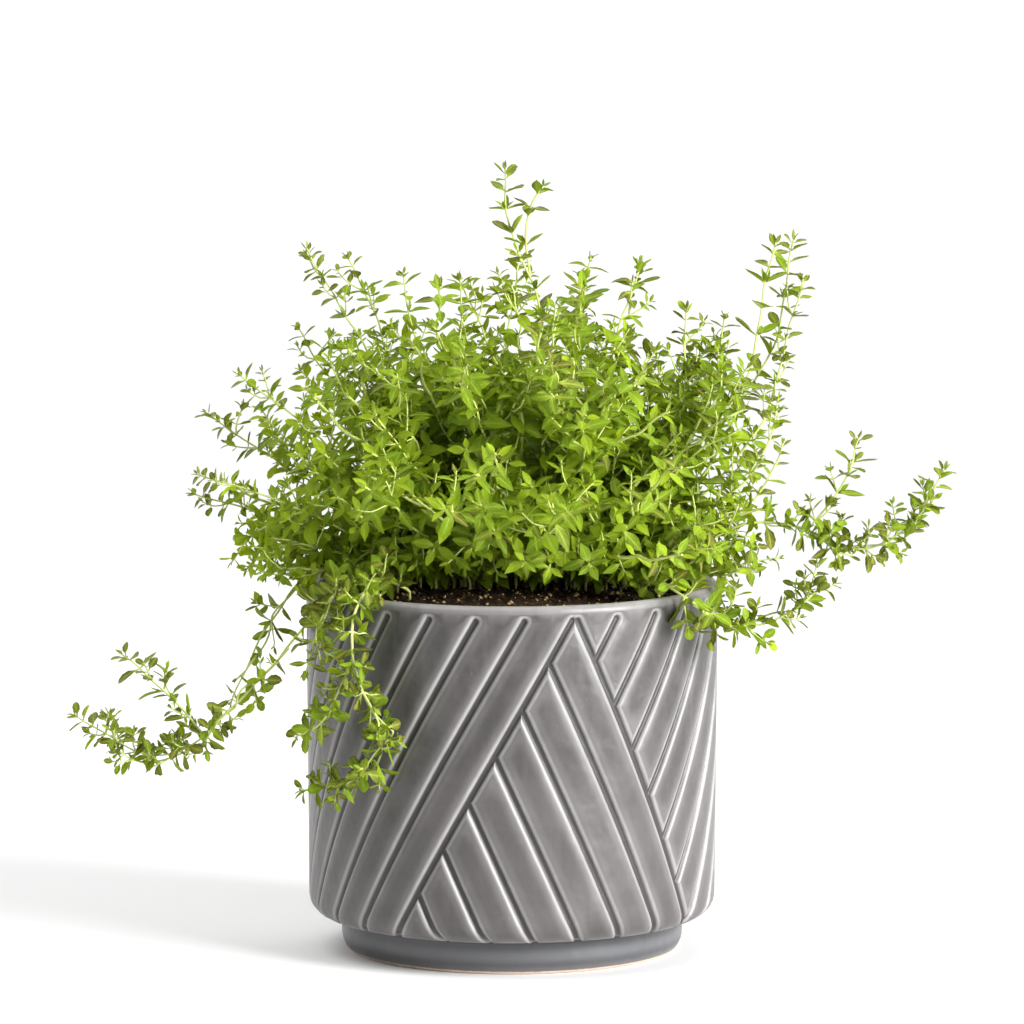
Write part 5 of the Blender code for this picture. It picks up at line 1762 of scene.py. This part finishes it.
def make_thyme(settings):
    """All pieces of thyme: the frame's stems made leafy, and the finer ones between them."""
    pieces = {}
    for stem in frame_stems():
        piece, habit = next(
            (name, habit) for name, (habit, starts) in THYME_PIECES.items() if stem.name.startswith(starts)
        )
        pieces.setdefault(piece, []).append((habit, stem))
    for piece, habit, stem in inner_stems():
        pieces.setdefault(piece, []).append((habit, stem))
    shapes = leaf_shapes()
    leaf, stalk = leaf_material(settings), stem_material(settings)
    for number, (piece, members) in enumerate(pieces.items()):
        green = Greenery()
        grower = Grower(green, settings, SEED * 10 + number)
        for habit, stem in members:
            grower.follow(habit)
            grow_stem(grower, stem, FINE_STEM_BARE if stem.name == habit else FRAME_STEM_BARE)
            if habit in ("trailing", "hanging"):
                grower.follow("twining")
                grow_strand(grower, stem)
                grower.follow(habit)
        tree, last = thyme_tree()
        obj = tree.build(piece, green.object(piece + "_lines"), last, {
            "Stem Sides": STEM_SIDES, "Leaf Roll": LEAF_ROLL, "Seed": number, "Leaves": shapes,
            "Leaf Material": leaf, "Stem Material": stalk,
        })
        nodes = [stem.name for habit, stem in members if stem.name != habit]
        settle_piece(obj, None, "thyme", *nodes)
        triangles = sum(len(polygon.vertices) - 2 for polygon in obj.data.polygons)
        print(f"{piece}: {green.leaves} leaves, {triangles} triangles")


# Stage


def make_sweep(settings):
    """A paper sweep: a floor that curves up into a backdrop."""
    rows = [(SWEEP_FRONT, 0.0), (SWEEP_BACK, 0.0)]
    for step in range(1, SWEEP_BEND_STEPS + 1):
        angle = math.pi / 2 * step / SWEEP_BEND_STEPS
        rows.append((SWEEP_BACK + SWEEP_BEND * math.sin(angle), SWEEP_BEND - SWEEP_BEND * math.cos(angle)))
    rows.append((SWEEP_BACK + SWEEP_BEND, SWEEP_HEIGHT))
    shape = bmesh.new()
    ends = [[shape.verts.new((x, y, z)) for y, z in rows] for x in (-SWEEP_HALF_WIDTH, SWEEP_HALF_WIDTH)]
    for i in range(len(rows) - 1):
        face = shape.faces.new((ends[0][i], ends[1][i], ends[1][i + 1], ends[0][i + 1]))
        face.smooth = True
    mesh = bpy.data.meshes.new("paper_sweep")
    shape.to_mesh(mesh)
    shape.free()
    sweep = add_object("paper_sweep", mesh)
    mesh.materials.append(floor_material(settings))


def add_area_light(name, place, aim, size, power):
    data = bpy.data.lights.new(name, "AREA")
    data.shape = "RECTANGLE"
    data.size, data.size_y = size
    data.energy = power
    lamp = bpy.data.objects.new(name, data)
    bpy.context.scene.collection.objects.link(lamp)
    lamp.location = place
    lamp.rotation_euler = (Vector(aim) - Vector(place)).to_track_quat("-Z", "Y").to_euler()


def make_surround(settings):
    """The studio all round: brighter on the right than on the left."""
    world = bpy.data.worlds.new("studio")
    world.use_nodes = True
    bpy.context.scene.world = world
    sky = Recipe(world.node_tree)
    world.node_tree.nodes.clear()
    way = sky.node("ShaderNodeTexCoord", {}, {}, "Generated")
    side = sky.node("ShaderNodeSeparateXYZ", {}, {"Vector": way}, "X")
    strength = settings.surround * (side * 0.6 + 1.0)
    shader = sky.node("ShaderNodeBackground", {}, {"Color": (1.0, 1.0, 1.0), "Strength": strength})
    sky.node("ShaderNodeOutputWorld", {}, {"Surface": shader})


def make_camera():
    data = bpy.data.cameras.new("camera")
    data.lens = CAMERA_LENS
    data.sensor_width = 36.0
    data.clip_start = 0.1
    data.clip_end = 30.0
    camera = bpy.data.objects.new("camera", data)
    bpy.context.scene.collection.objects.link(camera)
    camera.location = [value * MM for value in CAMERA_PLACE]
    camera.rotation_euler = (math.pi / 2 - CAMERA_TILT, 0.0, 0.0)
    bpy.context.scene.camera = camera


def make_stage(settings):
    make_sweep(settings)
    make_surround(settings)
    for name, (place, aim, size) in LIGHTS.items():
        add_area_light(name + "_light", place, aim, size, getattr(settings, name))
    make_camera()
    bpy.context.scene.view_settings.view_transform = "Standard"
    bpy.context.scene.view_settings.look = "None"


# Operators and panel


class THYME_OT_planter(bpy.types.Operator):
    """Build the grooved planter with its glaze"""

    bl_idname = "thyme.make_planter"
    bl_label = "Planter"

    def execute(self, context):
        make_planter(context.scene.thyme_planter)
        return {"FINISHED"}


class THYME_OT_soil(bpy.types.Operator):
    """Build the soil bed"""

    bl_idname = "thyme.make_soil"
    bl_label = "Soil"

    def execute(self, context):
        make_soil(context.scene.thyme_soil)
        return {"FINISHED"}


class THYME_OT_crumbs(bpy.types.Operator):
    """Scatter crumbs and chips over the soil"""

    bl_idname = "thyme.make_crumbs"
    bl_label = "Soil crumbs"

    def execute(self, context):
        make_crumbs(context.scene.thyme_soil)
        return {"FINISHED"}


class THYME_OT_stems(bpy.types.Operator):
    """Grow the leafy stems of thyme"""

    bl_idname = "thyme.make_stems"
    bl_label = "Thyme"

    def execute(self, context):
        make_thyme(context.scene.thyme_leaves)
        return {"FINISHED"}


class THYME_OT_stage(bpy.types.Operator):
    """Build the paper sweep, the lights and the camera"""

    bl_idname = "thyme.make_stage"
    bl_label = "Stage"

    def execute(self, context):
        make_stage(context.scene.thyme_stage)
        return {"FINISHED"}


OPERATORS = (THYME_OT_planter, THYME_OT_soil, THYME_OT_crumbs, THYME_OT_stems, THYME_OT_stage)
SETTINGS = {
    "thyme_planter": PlanterSettings,
    "thyme_soil": SoilSettings,
    "thyme_leaves": ThymeSettings,
    "thyme_stage": StageSettings,
}


class THYME_PT_panel(bpy.types.Panel):
    """The planter, its soil, the thyme and the stage"""

    bl_label = "Potted thyme"
    bl_idname = "THYME_PT_panel"
    bl_space_type = "VIEW_3D"
    bl_region_type = "UI"
    bl_category = "Thyme"

    def draw(self, context):
        for operator in OPERATORS:
            self.layout.operator(operator.bl_idname)
        for name, group in SETTINGS.items():
            box = self.layout.box()
            for key in group.__annotations__:
                box.prop(getattr(context.scene, name), key)


def register():
    for group in SETTINGS.values():
        bpy.utils.register_class(group)
    for name, group in SETTINGS.items():
        setattr(bpy.types.Scene, name, bpy.props.PointerProperty(type=group))
    for operator in OPERATORS:
        bpy.utils.register_class(operator)
    bpy.utils.register_class(THYME_PT_panel)


def unregister():
    bpy.utils.unregister_class(THYME_PT_panel)
    for operator in reversed(OPERATORS):
        bpy.utils.unregister_class(operator)
    for name, group in reversed(SETTINGS.items()):
        delattr(bpy.types.Scene, name)
        bpy.utils.unregister_class(group)


def main():
    register()
    bpy.ops.thyme.make_planter()
    bpy.ops.thyme.make_soil()
    bpy.ops.thyme.make_crumbs()
    bpy.ops.thyme.make_stems()
    bpy.ops.thyme.make_stage()
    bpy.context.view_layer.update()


if __name__ == "__main__":
    main()
